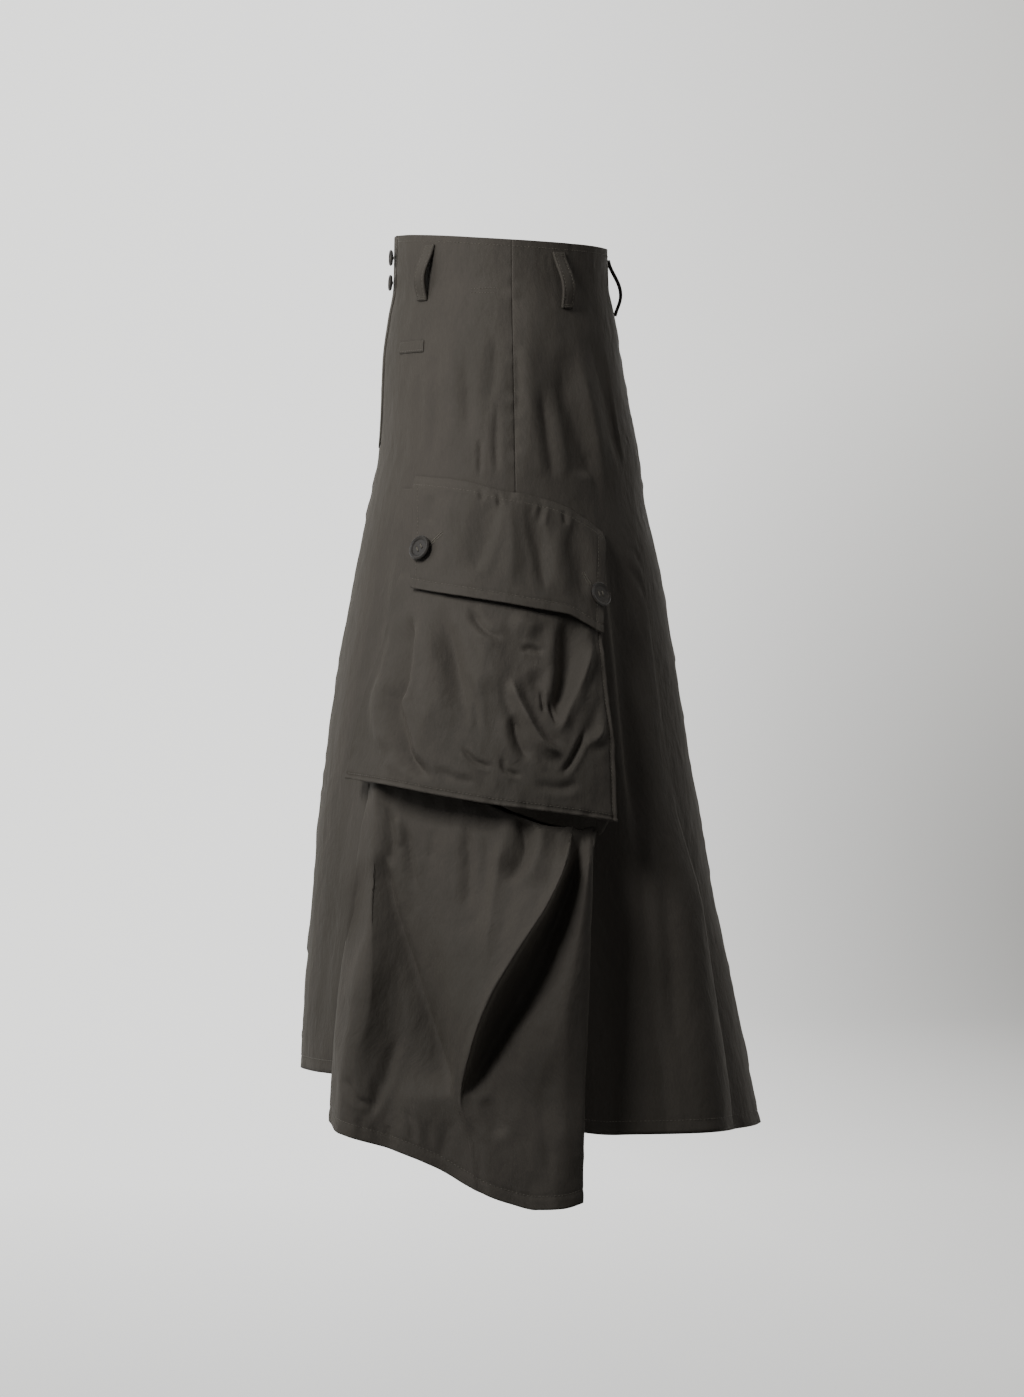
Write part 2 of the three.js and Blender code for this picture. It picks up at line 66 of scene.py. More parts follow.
# Horizontal sections of the skirt: half depths to front and back, half widths to each side
SECTIONS = table(
    "down front back left right",
    (-8, 98.5, 99.5, 123, 123),
    (40, 99.5, 101, 128, 128),
    (70, 104.5, 107, 138, 138),
    (108, 109.5, 112.7, 151, 151),
    (164, 111.7, 123, 166, 166),
    (201, 114.5, 129.5, 173.5, 173.5),
    (239, 122, 134, 179, 180),
    (295, 133.2, 147.3, 188, 190),
    (370, 147.3, 159.4, 198, 203),
    (482, 163.2, 177.2, 209, 223),
    (613, 176.2, 200.6, 214, 248),
    (725, 184.7, 223.9, 214, 268),
    (840, 190, 246, 213, 288),
)
RIM = {"ends": 6, "side": 3.7, "sewn": 6}
HEM = {"front": 768, "back": 820, "from": 60, "to": 118, "sewn": 12}

# Soft vertical folds that open towards the hem
BODY_FOLDS = table(
    "turn half depth from",
    (118, 13, -12, 260),
    (141, 14, 8, 300),
    (205, 14, -13, 260),
    (229, 12, 10, 330),
    (252, 14, -19, 280),
    (277, 13, 9, 360),
    (301, 13, -15, 300),
    (326, 12, 8, 340),
)

# The pocket, its gusset and its flap
POCKET_EDGES = table(
    "along front back depth",
    (0, 42, 130.5, 1.9),
    (0.25, 49.5, 124.5, 6.5),
    (0.5, 48.5, 121.5, 18),
    (0.75, 44.2, 120, 31),
    (1, 42, 118.5, 38),
)
POCKET_BOTTOM = table(
    "turn down",
    (40, 496.5), (60, 502), (75, 511),
    (90, 520), (105, 527.5), (119, 535.5),
)
POCKET_TOP_BELOW_SEAM = 12
POCKET_FRONT_SHARE = 0.6
POCKET_WIDTH = 280
FLANGE = 3
GUSSET = {"from": 0.36, "side": 0.28, "pleat": 0.14, "at": 530}
GUSSET_SAG = {"from": 84, "full": 104, "most": 16}  # towards the back, by turns
FLAP_SEAM = table(
    "turn down",
    (48, 220.5), (78, 228.6), (88, 235), (101, 240),
    (111, 246), (124.5, 261.5), (132, 274),
)
FLAP_EDGE = table(
    "turn down",
    (58, 323.6), (77, 331.7), (89, 337), (100, 342.8),
    (111, 348.5), (116, 356), (122, 366),
)
FLAP_ENDS = {"front_top": 48.6, "front_bottom": 58.4, "back_top": 131.5, "back_bottom": 121.9}
FLAP_LIFT = 5
# The flap's buttons, and the open end of each buttonhole, as seen from the side
FLAP_BUTTONS = table(
    "y down hole",
    (-71.5, 289, [(-65, 286), (-51.5, 274)]),
    (88, 331, [(82, 321), (75, 310)]),
)

# Sections of the side drape, each point as (y, x), from its front fold to its back fold
DRAPE = table(
    "down front_fold ridge valley crest floor shelf back_fold",
    (515, (-119.5, 160), (-111, 178), (-105, 181), (66, 240), (74, 224), (78, 229), (86, 226)),
    (545, (-126, 160), (-113, 184), (-106.5, 187), (64, 252), (72.5, 224), (76.5, 231), (85.3, 227)),
    (570, (-129.7, 159), (-114, 188), (-106, 190), (59, 258), (69, 224), (75, 233), (84.4, 228)),
    (605, (-135.2, 158), (-115.7, 194), (-99.4, 194), (43.7, 268), (59.3, 225), (68, 237), (83, 229)),
    (645, (-140.2, 158), (-115.6, 201), (-87.6, 199), (17.9, 276), (42.2, 227), (56.4, 241), (81.2, 230)),
    (695, (-146.3, 158), (-117, 207), (-71.3, 207), (-11.5, 277), (18.8, 229), (39.4, 245), (79.4, 231)),
    (740, (-151.5, 160), (-126, 210), (-55, 217), (-27, 266), (-8, 234), (9, 247), (78, 232)),
    (785, (-155, 161), (-134, 211), (-44, 238), (-35.5, 246), (-27, 244), (-12, 247), (76.5, 233)),
    (825, (-156.5, 162), (-139, 210), (-34, 243), (-19, 246), (-4, 248), (16, 249), (75.5, 234)),
    (885, (-157.5, 162), (-141, 209), (-30, 243), (-12, 246), (5, 248), (24, 249), (74.4, 234)),
)
DRAPE_HEM = table(
    "y down",
    (-160, 806), (-150, 812), (-125, 821), (-90, 832), (-60, 845),
    (-27, 864), (0, 876), (27, 882), (55, 881), (78, 876),
)
CREST = {"before": 6, "swell": 4, "wide": 80, "lip_back": 0.22, "lip_in": 0.5}
# How the columns of the drape's grid are shared out between the points of its section
DRAPE_COLUMNS = [6, 7, 34, 32, 32, 4, 6, 8, 7, 22, 20, 7]
DRAPE_RETURN = 24
DRAPE_TUCK = {"inside": 15, "eases": 36, "below": 4.2, "at": 540}

# Where the panels are smooth under what lies on them: each pair is where that starts and is full,
# in millimetres or degrees, and counts down from 0 where it is negative
CALM = {
    "pocket": {"front": (40, 47), "back": (-132, -128), "top": (214, 226)},
    "lap": {"side": (-FLY["left"] - 8, -FLY["left"] - 2), "low": (-206, -194)},
    "loop": {"turns": (47.7, 123.5, 180, 236.5, 312.3), "side": (-7, -4.5), "low": (-74, -66)},
    "welt": {"turn": 41.3, "down": 101.5, "side": (-12.5, -9.5), "ends": (-10, -6)},
}
COVER_EASES = (-1, 4)

# How strongly the folds below are raised, and how they are laid out
HIP = {"from": 20, "full": 34, "to": 150}  # the turns between which the hip's folds show
FOLD_GAIN = 1.25  # on the pocket and the flap
HIDDEN_GAIN = 1.8
SQUEEZE = 0.1  # heights are shortened, so that a half width in degrees reaches far enough down
DEGREE = 2.2  # about how many millimetres a degree of turn is

# Lengths in millimetres that the shares of a seam are counted over, and rows sewn inside an edge
LENGTHS = {"panel": 790, "drape": 330, "flap": 105, "flap_across": 190, "pocket": 280, "lap_across": 42}
FLAP_SEWN = {"seam": 8, "edge": 8.5, "side": 7}


# Small mathematics
def lerp(a, b, t):
    """The value a share t of the way from a to b."""
    return a + (b - a) * t


def smooth(x, low, high):
    """Rises from 0 at low to 1 at high, along 3 t squared less 2 t cubed."""
    t = np.clip((x - low) / (high - low), 0, 1)
    return t * t * (3 - 2 * t)


def hermite(x, y, at):
    """A curve through places x and values y, one column each, read at the places at. Its slope at
    a place is the harmonic mean of its neighbours', or 0 where they differ in sign."""
    h = np.diff(x)[:, None]
    slope = np.diff(y, axis=0) / h
    before, after = slope[:-1], slope[1:]
    same = before * after > 0
    total = np.where(same, before + after, 1)
    middle = np.where(same, 2 * before * after / total, 0)
    tangent = np.concatenate([slope[:1], middle, slope[-1:]])
    t = np.clip(at, x[0], x[-1])
    i = np.clip(np.searchsorted(x, t, "right") - 1, 0, len(x) - 2)
    column = np.arange(t.size) if y.shape[1] > 1 else np.zeros(t.size, int)
    step = np.diff(x)[i]
    u = (t - x[i]) / step
    return (
        (2 * u**3 - 3 * u**2 + 1) * y[i, column]
        + (u**3 - 2 * u**2 + u) * step * tangent[i, column]
        + (3 * u**2 - 2 * u**3) * y[i + 1, column]
        + (u**3 - u**2) * step * tangent[i + 1, column]
    )


def read(rows, at, column=None):
    """A column of a table, its last unless one is named, read along the curve of hermite at many
    places of its first column."""
    names = list(rows[0])
    x = np.array([row[names[0]] for row in rows], float)
    y = np.array([[row[column or names[-1]]] for row in rows], float)
    at = np.asarray(at, float)
    return hermite(x, y, at.ravel()).reshape(at.shape)


def swell(distance, half):
    """1 on a fold's line, falling along a squared cosine to 0 at its half width."""
    return np.where(np.abs(distance) < half, np.cos(np.pi / 2 * distance / half) ** 2, 0)


def bell(distance, width):
    """1 on a line, falling beside it as e to the power of minus the square of distance by width."""
    return np.exp(-((distance / width) ** 2))


def unit(vectors):
    """Vectors brought to a length of 1."""
    return vectors / np.maximum(np.linalg.norm(vectors, axis=-1, keepdims=True), 1e-9)


def wander(x, y, size, seed):
    """An uneven, smooth field from -1 to 1: random values on a grid of that size, blended."""
    wide, high = 97, 89
    values = np.random.default_rng(seed).uniform(-1, 1, (wide, high))
    gx, gy = x / size[0] + 300, y / size[1] + 300
    i, j = np.floor(gx).astype(int), np.floor(gy).astype(int)
    fx, fy = smooth(gx - i, 0, 1), smooth(gy - j, 0, 1)
    i0, i1, j0, j1 = i % wide, (i + 1) % wide, j % high, (j + 1) % high
    return lerp(lerp(values[i0, j0], values[i1, j0], fx), lerp(values[i0, j1], values[i1, j1], fx), fy)


# The skirt's body
def half_depth(down, in_front):
    """Half depth of the skirt: the front's where in_front holds, and the back's elsewhere."""
    return np.where(in_front, read(SECTIONS, down, "front"), read(SECTIONS, down, "back"))


def radii(turn, down):
    """Half width and half depth of the skirt at a turn and a height."""
    r = np.radians(turn)
    across = np.where(np.sin(r) >= 0, read(SECTIONS, down, "left"), read(SECTIONS, down, "right"))
    return across, half_depth(down, np.cos(r) >= 0)


def on_body(turn, down, out=0.0):
    """A point of the skirt's outer surface moved outwards: the ellipse across by deep, and along its
    normal the folds' swells, which grow from each fold's start to the hem."""
    turn, down = np.broadcast_arrays(np.asarray(turn, float), np.asarray(down, float))
    across, deep = radii(turn, down)
    s, c = np.sin(np.radians(turn)), np.cos(np.radians(turn))
    nx, ny = s / across, -c / deep
    size = np.hypot(nx, ny)
    away = np.zeros_like(turn) + out
    for f in BODY_FOLDS:
        grown = smooth(down, f["from"], HEM["back"])
        away = away + f["depth"] * swell(turn % 360 - f["turn"], f["half"]) * grown
    return np.stack([across * s + nx / size * away, -deep * c + ny / size * away, -down], -1)


def step(turn, down):
    """Millimetres of cloth to one degree of turn."""
    across, deep = radii(turn, down)
    r = np.radians(turn)
    return np.radians(np.hypot(across * np.cos(r), deep * np.sin(r)))


def rim_down(turn):
    """The waist edge: lowest at the back, with a slight dip at the sides."""
    r = np.radians(turn)
    return -RIM["ends"] * np.cos(r) + RIM["side"] * np.sin(r) ** 2


def hem_down(turn):
    """The hem: level round the front and the back, easing between them at the sides."""
    away = np.abs((np.asarray(turn, float) + 180) % 360 - 180)
    return lerp(HEM["front"], HEM["back"], smooth(away, HEM["from"], HEM["to"]))


# Folds and creases: each follows a path of places (y, down) as seen from the left side. Its
# depth is negative for a trough; "lean" makes its far side wider or narrower than its near side.
def bent(path, count=14):
    """A smooth path through a few places: a Catmull-Rom curve, sampled evenly."""
    p = np.array(path, float)
    if len(p) == 2:
        return np.linspace(p[0], p[1], 4)
    p = np.vstack([2 * p[0] - p[1], p, 2 * p[-1] - p[-2]])
    at = np.linspace(0, len(path) - 1.0001, count)
    i = at.astype(int)
    t = (at - i)[:, None]
    a, b, c, d = p[i], p[i + 1], p[i + 2], p[i + 3]
    square, cube = (2 * a - 5 * b + 4 * c - d) * t**2, (3 * b - a - 3 * c + d) * t**3
    return 0.5 * (2 * b + (c - a) * t + square + cube)


def crease(y, down, path, half, depth, lean=1.0, soft=0.55, shoulder=0.3, fade=0.28):
    """One fold, fading towards its two ends. Across its path it is e to the power of minus 1.25
    times the distance in half widths, rounded off near the line by "soft", less a shoulder raised
    each side."""
    total = np.zeros_like(y)
    line = bent(path)
    reach = 4 * half * max(lean, 1)
    low, high = line.min(0) - reach, line.max(0) + reach
    near = (y > low[0]) & (y < high[0]) & (down > low[1]) & (down < high[1])
    if not near.any():
        return total
    py, pd = y[near], down[near]
    best, along, side = np.full(py.shape, 1e9), np.zeros(py.shape), np.ones(py.shape)
    lengths = np.hypot(*np.diff(line, axis=0).T)
    for k, (a, b) in enumerate(zip(line[:-1], line[1:])):
        ab = b - a
        t = np.clip(((py - a[0]) * ab[0] + (pd - a[1]) * ab[1]) / (ab @ ab), 0, 1)
        dy, dd = py - a[0] - t * ab[0], pd - a[1] - t * ab[1]
        distance = np.hypot(dy, dd)
        closer = distance < best
        best = np.where(closer, distance, best)
        along = np.where(closer, (lengths[:k].sum() + t * lengths[k]) / lengths.sum(), along)
        side = np.where(closer, np.sign(ab[0] * dd - ab[1] * dy), side)
    width = half * np.where(side > 0, lean, 1.0)
    middle = np.exp(-1.25 * (np.hypot(best / width, soft) - soft))
    rise = bell(best - 1.9 * width, width)
    ends = smooth(along, 0, fade) * smooth(1 - along, 0, fade)
    total[near] = depth * (middle - shoulder * rise) * ends
    return total


def creases(y, down, rows):
    """All the folds of a list of rows."""
    total = np.zeros_like(y)
    for row in rows:
        total += crease(y, down, **row)
    return total


# The folds of each piece, from the top down, as seen from the left side: first those of the
# two left panels over the hip and on to the hem, then those of the front beside the pocket
# and below it
HIP_FOLDS = table(
    "path half depth lean soft",
    ([(54, 100), (65, 154), (78, 199), (92, 244)], 9, -5.8, 1.5),
    ([(37, 134), (45, 190), (51, 243)], 6, -4.4),
    ([(24, 60), (26, 136), (25, 227)], 8, 2),
    ([(-18, 186), (-19, 232)], 2.2, -1.9, 1, 0.2),
    ([(-2, 150), (-4, 190), (-3, 226)], 3.2, -1.7, 1, 0.3),
    ([(-3, 88), (-9, 158)], 5, -1.5),
    ([(-31, 112), (-29, 190)], 5, -1.8),
    ([(-47, 82), (-44, 154), (-45, 218)], 7, 1.8),
    ([(-62, 100), (-60, 150), (-64, 222)], 4, -1.7, 1, 0.35),
    ([(-76, 120), (-73, 200)], 4, -1.5, 1, 0.35),
    ([(14, 96), (16, 140), (12, 200)], 3, -1.2, 1, 0.3),
    ([(70, 108), (84, 170), (98, 236)], 4, 2, 1, 0.35),
    ([(81, 82), (100, 154), (112, 218)], 7, -3.6),
    ([(92, 250), (108, 340), (116, 450), (120, 580)], 12, -6, 1, 0.8),
    ([(119, 300), (133, 330), (141, 352)], 3, -1.5, 1, 0.3),
    ([(118, 282), (130, 300), (139, 322)], 3.4, -1.4, 1, 0.3),
    ([(160, 500), (174, 660), (186, 800), (192, 940)], 20, 12, 1.3, 0.9),
    ([(108, 520), (114, 700), (119, 840), (121, 960)], 13, -8, 1, 0.9),
    ([(142, 520), (150, 640), (158, 760)], 6, -2, 1, 0.4),
    ([(205, 640), (212, 720), (216, 790)], 8, -1.8),
)
FRONT_FOLDS = table(
    "path half depth",
    ([(-96, 244), (-112, 335), (-136, 480), (-152, 620)], 11, -3.4),
    ([(-110, 300), (-134, 440), (-150, 560)], 9, 2.2),
    ([(-150, 580), (-162, 680), (-168, 755)], 9, -2.6),
)
FLAP_FOLDS = table(
    "path half depth lean soft",
    ([(-8, 243), (-14, 277), (-24, 314)], 6, -4.2, 1.6, 0.35),
    ([(-44, 236), (-50, 281), (-55, 318)], 9, 2),
    ([(-63, 238), (-66, 268)], 4, -1.2),
    ([(7, 243), (11, 281), (9, 326)], 8, 2.8),
    ([(27, 246), (36, 290), (41, 331)], 5, -3.2, 1, 0.35),
    ([(54, 263), (52, 299), (60, 335)], 8, 2.2),
    ([(64, 262), (74, 300), (80, 345)], 6, -3.6, 1.4, 0.35),
    ([(-17, 232), (-16, 246)], 2.4, -2, 1, 0.2),
    ([(40, 246), (34, 268)], 2.6, -2.2, 1, 0.2),
    ([(-2, 236), (0, 252)], 2.2, -1.6, 1, 0.2),
    ([(58, 252), (60, 268)], 2.4, -1.8, 1, 0.2),
)
POCKET_FOLDS = table(
    "path half depth lean soft fade",
    ([(-80, 346), (-84, 386), (-88, 411), (-96, 428), (-88, 457), (-81, 477), (-59, 501)],
     4.6, -8, 1.9, 0.22, 0.16),
    ([(-100, 400), (-108, 440), (-100, 478)], 7, 3),
    ([(-50, 334), (-48, 363), (-39, 399), (-32, 428), (-24, 450)], 7, -5.6, 1.3),
    ([(-68, 350), (-68, 410), (-62, 468)], 12, 3.2),
    ([(-16, 350), (-14, 390), (-8, 424)], 13, 3.4),
    ([(-29, 341), (-14, 363), (5, 371)], 3.6, -3, 1, 0.3),
    ([(8, 350), (24, 357), (39, 366)], 10, 4.2, 1, 0.55, 0.4),
    ([(18, 379), (30, 380), (40, 384)], 2.6, -3, 1, 0.15),
    ([(58, 344), (64, 363), (62, 399), (55, 435), (50, 452)], 8, -11, 1, 0.8, 0.3),
    ([(10, 404), (14, 422), (26, 446), (40, 467), (60, 477)], 5, 6.6, 1, 0.2, 0.2),
    ([(30, 396), (37, 420), (44, 444)], 9, -3.6),
    ([(38, 414), (40, 439)], 1.8, -2.6, 1, 0.15),
    ([(45, 426), (52, 448)], 1.8, -2.6, 1, 0.15),
    ([(12, 436), (16, 460), (27, 482)], 5, -5, 1, 0.3),
    ([(2, 476), (5, 489), (20, 494)], 2.2, -3, 1, 0.15),
    ([(-35, 468), (-22, 481), (-6, 487)], 2.4, -2.8, 1, 0.15),
    ([(52, 458), (72, 408), (83, 374)], 5, 5, 1, 0.2, 0.2),
    ([(54, 494), (65, 480), (79, 452)], 2.8, -4, 1, 0.15),
    ([(75, 470), (93, 452), (100, 424)], 5, 4, 1, 0.3),
    ([(88, 362), (95, 392), (92, 420)], 4, -3.4, 1, 0.3),
    ([(-60, 486), (-40, 497), (-20, 499)], 4, -2),
    ([(30, 500), (52, 505), (74, 500)], 4, -2.4),
    ([(-30, 400), (-22, 430), (-20, 458)], 3, -1.6, 1, 0.3),
)
DRAPE_FOLDS = table(
    "path half depth lean soft fade shoulder",
    ([(-106, 562), (-97, 606), (-85, 645), (-69, 694), (-54, 742), (-44, 782)],
     3.6, -9, 7, 0.04, 0.12, 0),
    ([(-122, 620), (-126, 700), (-130, 790), (-132, 900)], 15, 11, 1, 0.8),
    ([(-52, 780), (-46, 840), (-44, 940)], 18, -5, 1, 0.9),
    ([(-85, 536), (-79, 580), (-76, 600)], 3, -3.6, 1.8, 0.2),
    ([(-104, 520), (-98, 548), (-100, 580)], 5, -4.4, 1, 0.3),
    ([(-94, 530), (-90, 560)], 4, 2.6, 1, 0.3),
    ([(16, 520), (23, 550), (14, 576), (2, 592)], 6, -9, 1.4, 0.25),
    ([(3, 532), (-1, 570), (-8, 620), (-14, 680)], 6, 3.4, 1, 0.3),
    ([(40, 532), (37, 560), (26, 596)], 7, 3.4),
    ([(-54, 520), (-48, 605), (-40, 686)], 14, 3),
    ([(-32, 530), (-28, 570), (-30, 620)], 5, -3.6, 1, 0.3),
    ([(-60, 540), (-62, 572)], 3.4, -1.8, 1, 0.3),
    ([(-90, 722), (-103, 766), (-119, 806)], 4, -2.8, 1.4, 0.3),
    ([(-133, 764), (-126, 784), (-112, 792)], 3, -2.6, 1, 0.2),
    ([(-110, 764), (-112, 786), (-118, 804)], 3, -2.4, 1, 0.2),
    ([(-86, 790), (-80, 806), (-78, 824)], 3, -2.4, 1, 0.2),
    ([(-124, 800), (-120, 820)], 3, -2, 1, 0.2),
    ([(-101, 806), (-98, 828)], 3, -2, 1, 0.2),
    ([(-66, 800), (-62, 838)], 4, -1.6, 1, 0.3),
    ([(-16, 780), (-8, 797), (2, 818)], 7, -3),
    ([(-139, 590), (-145, 695), (-148, 776)], 4, 1.8),
    ([(-121, 560), (-131, 659), (-134, 760)], 6, -2.2),
    ([(42, 740), (38, 802), (46, 866)], 9, -1.6),
    ([(62, 640), (58, 740), (60, 850)], 7, 1.3),
    ([(-58, 840), (-50, 820), (-46, 800)], 5, -1.5),
)
# The folds of the back and the right side, along places (turn, down)
HIDDEN_FOLDS = table(
    "path half depth",
    ([(206, 70), (212, 150), (210, 260)], 4, -2.2),
    ([(228, 110), (232, 200), (230, 330)], 4, -2),
    ([(246, 60), (242, 160), (247, 280)], 5, 1.8),
    ([(258, 180), (262, 300), (256, 430)], 4, -2.6),
    ([(281, 90), (284, 190), (279, 300)], 4, -2),
    ([(296, 130), (292, 260), (297, 380)], 4, 2),
    ([(312, 170), (316, 300), (312, 420)], 4, -2.2),
    ([(334, 230), (338, 400), (334, 600)], 5, -2.4),
    ([(190, 330), (194, 480), (190, 640)], 5, -2.8),
    ([(220, 420), (216, 560), (221, 720)], 5, 2.6),
    ([(268, 470), (264, 600), (269, 760)], 4, -3),
    ([(310, 500), (314, 620), (309, 760)], 4, 2.4),
)


def pucker(along, away, size, reach, seed):
    """Gathers beside a seam: uneven along it, and dying away from it."""
    field = wander(along, away, (size, size * 2.4), seed)
    return field * np.exp(-np.abs(away) / reach)


def crumple(a, d, amount, seed):
    """The cloth's own slight unevenness: three sizes of soft field, longer down than across."""
    big = wander(a, d, (34, 70), seed)
    mid = wander(a + 0.25 * d, d, (15, 30), seed + 1)
    small = wander(a - 0.2 * d, d, (7, 11), seed + 2)
    return amount * (0.9 * big + 0.45 * mid + 0.22 * small)


def kept_above(height, room):
    """Heights whose troughs level out before they use up the room below them, along tanh."""
    return np.where(height < 0, room * np.tanh(height / room), height)


# Surfaces as grids of points
def grid(rows, columns):
    """The two parameters of a piece on a grid, from 0 to 1."""
    return np.meshgrid(np.linspace(0, 1, rows + 1), np.linspace(0, 1, columns + 1), indexing="ij")


def normals(points):
    """Unit normals of a grid of points: the cross product of its steps down and across."""
    return unit(np.cross(np.gradient(points, axis=0), np.gradient(points, axis=1)))


def raised(points, height):
    """A grid moved along its normals by a height at each point."""
    return points + normals(points) * height[..., None]


def panel_points(from_turn, to_turn, rows, columns):
    """A main panel: from one seam to the next, and from the waist to the hem."""
    u, v = grid(rows, columns)
    low = u**PANEL_CROWD
    start = from_turn + SEAM / 2 / step(from_turn + 0 * low, HEM["back"] * low)
    end = to_turn - SEAM / 2 / step(to_turn + 0 * low, HEM["back"] * low)
    turn = lerp(start, end, v)
    down = lerp(rim_down(turn), hem_down(turn), low)
    return turn, down, on_body(turn, down)


def within(down, top, bottom, turn, front, back, wide):
    """How far inside the nearest of four edges a place lies, in millimetres, or outside below 0."""
    upright = np.minimum(down - top, bottom - down)
    return np.minimum(upright, np.minimum(turn - front, back - turn) * wide)


def covered(turn, down):
    """1 under the flap, the pocket, the lap and the welt, and 0 beside them, easing between."""
    wide = step(turn, down)
    seam, edge = flap_seam(turn), read(FLAP_EDGE, turn)
    share = np.clip((down - seam) / (edge - seam), 0, 1)
    in_flap = within(down, seam, edge, turn, *flap_ends(share), wide)
    top, bottom = seam + POCKET_TOP_BELOW_SEAM, read(POCKET_BOTTOM, turn)
    t = np.clip((down - top) / (bottom - top), 0, 1)
    in_pocket = within(down, top, bottom, turn, *pocket_ends(t), wide)
    in_lap = np.minimum(FLY["left"] - np.abs(turn % 360 * wide), FLY["length"] - down)
    welt_low = WELT["down"] + WELT["height"]
    in_welt = within(down, WELT["down"], welt_low, turn, WELT["from"], WELT["to"], wide)
    inside = np.maximum(np.maximum(in_flap, in_pocket), np.maximum(in_lap, in_welt))
    return smooth(inside, *COVER_EASES)


def under_pieces(turn, down):
    """1 where the skirt is bare, falling to 0 under the pocket, the flap, the drape, the lap, the
    belt loops and the welt."""
    pocket, lap, loop, welt = CALM["pocket"], CALM["lap"], CALM["loop"], CALM["welt"]
    inside = smooth(turn, *pocket["front"]) * smooth(-turn, *pocket["back"])
    inside = inside * smooth(down, *pocket["top"])
    lateral = np.abs(turn) * step(turn, down)
    in_lap = smooth(-lateral, *lap["side"]) * smooth(-down, *lap["low"])
    in_loops = 0 * turn
    for middle in loop["turns"]:
        beside = smooth(-np.abs(turn % 360 - middle), *loop["side"])
        in_loops = np.maximum(in_loops, beside * smooth(-down, *loop["low"]))
    in_welt = smooth(-np.abs(turn - welt["turn"]), *welt["side"])
    in_welt = in_welt * smooth(-np.abs(down - welt["down"]), *welt["ends"])
    return 1 - np.maximum(np.maximum(inside, in_lap), np.maximum(in_loops, in_welt))


def panel(from_turn, to_turn, rows, columns):
    """A main panel with its folds, its crumple, and the puckers of its seams and hem."""
    turn, down, points = panel_points(from_turn, to_turn, rows, columns)
    wide = step(turn, down)
    arc = turn * wide
    y = points[..., 1]
    height = crumple(turn * DEGREE, down, amount=0.8, seed=5)
    on_hip = (turn < HIP["to"]) * smooth(turn, HIP["from"], HIP["full"])
    height += on_hip * creases(y, down, HIP_FOLDS)
    height += (turn <= 90) * creases(y, down, FRONT_FOLDS)
    hidden = [dict(row, path=[(t, d * SQUEEZE) for t, d in row["path"]]) for row in HIDDEN_FOLDS]
    height += HIDDEN_GAIN * creases(turn, down * SQUEEZE, hidden)
    for edge in (from_turn, to_turn):
        away = (turn - edge) * wide
        height += 1.4 * pucker(down, away, size=9, reach=7, seed=11 + int(edge) % 360)
        height -= 0.4 * np.exp(-np.abs(away) / 1.3)
    height += 0.5 * pucker(arc, down - rim_down(turn), size=16, reach=12, seed=26)
    height += hem_relief(arc, hem_down(turn) - down, 36)
    bare = np.clip(under_pieces(turn, down), 0.05, 1)
    return raised(points, height * bare - SINK * covered(turn, down))


def hem_relief(along, above, seed):
    """A turned-up hem: a shallow line where it is sewn, and puckers between it and the edge."""
    rope = wander(along + 0.8 * above, above, (11, 26), seed) * bell(above, 15)
    return 0.7 * rope - 0.5 * bell(above - HEM["sewn"], 1.6)


def fly_points(u, v):
    """The lap on the centre front; its lower corner on the free edge is a quarter circle."""
    down = lerp(rim_down(0.0), FLY["length"], 1 - (1 - u) ** 1.5)
    over = np.maximum(0, down - (FLY["length"] - FLY["round"])) / FLY["round"]
    edge = FLY["left"] - FLY["round"] * (1 - np.sqrt(np.maximum(0, 1 - over**2)))
    lateral = lerp(FLY["right"], np.maximum(edge, FLY["right"] + 4), v)
    turn = np.degrees(np.arcsin(lateral / read(SECTIONS, down, "left")))
    return lateral, down, on_body(turn, down, FLUSH)


def loop_points(top_turn, bottom_turn, bulge, rows, columns):
    """A belt loop: a strap whose stand-off is a raised half sine between its sewn ends, fullest a
    little below its middle."""
    u, v = grid(rows, columns)
    middle = lerp(top_turn, bottom_turn, u)
    down = rim_down(middle) + LOOP["drop"] + LOOP["length"] * u
    turn = middle + (v - 0.5) * LOOP["width"] / step(middle, down)
    stand = LAID + LOOP["cloth"] + bulge * np.sin(np.pi * u ** LOOP["lowness"]) ** 1.3
    edge = 0.5 * bell(np.minimum(v, 1 - v) * LOOP["width"] - 2.2, 0.8)
    return on_body(turn, down, stand - edge)


def flap_seam(turn):
    """How far down the flap's seam lies."""
    return read(FLAP_SEAM, turn)


def flap_ends(share):
    """The turns of the flap's front and back ends, a share of the way down."""
    front = lerp(FLAP_ENDS["front_top"], FLAP_ENDS["front_bottom"], share)
    return front, lerp(FLAP_ENDS["back_top"], FLAP_ENDS["back_bottom"], share)


def pocket_ends(t):
    """The turns of the pocket's front and back edges, a share t of the way down."""
    return read(POCKET_EDGES, t, "front"), read(POCKET_EDGES, t, "back")


def pocket_place(s, t):
    """Turn and depth of a place of the pocket: s from its front edge to its back, t downwards."""
    turn = lerp(*pocket_ends(t), s)
    return turn, lerp(flap_seam(turn) + POCKET_TOP_BELOW_SEAM, read(POCKET_BOTTOM, turn), t)


def pocket_depth(s, t):
    """How far the pocket's face stands off the skirt."""
    share = lerp(POCKET_FRONT_SHARE, 1, smooth(s, 0, 0.32))
    return np.maximum(read(POCKET_EDGES, t) * share, FLUSH)


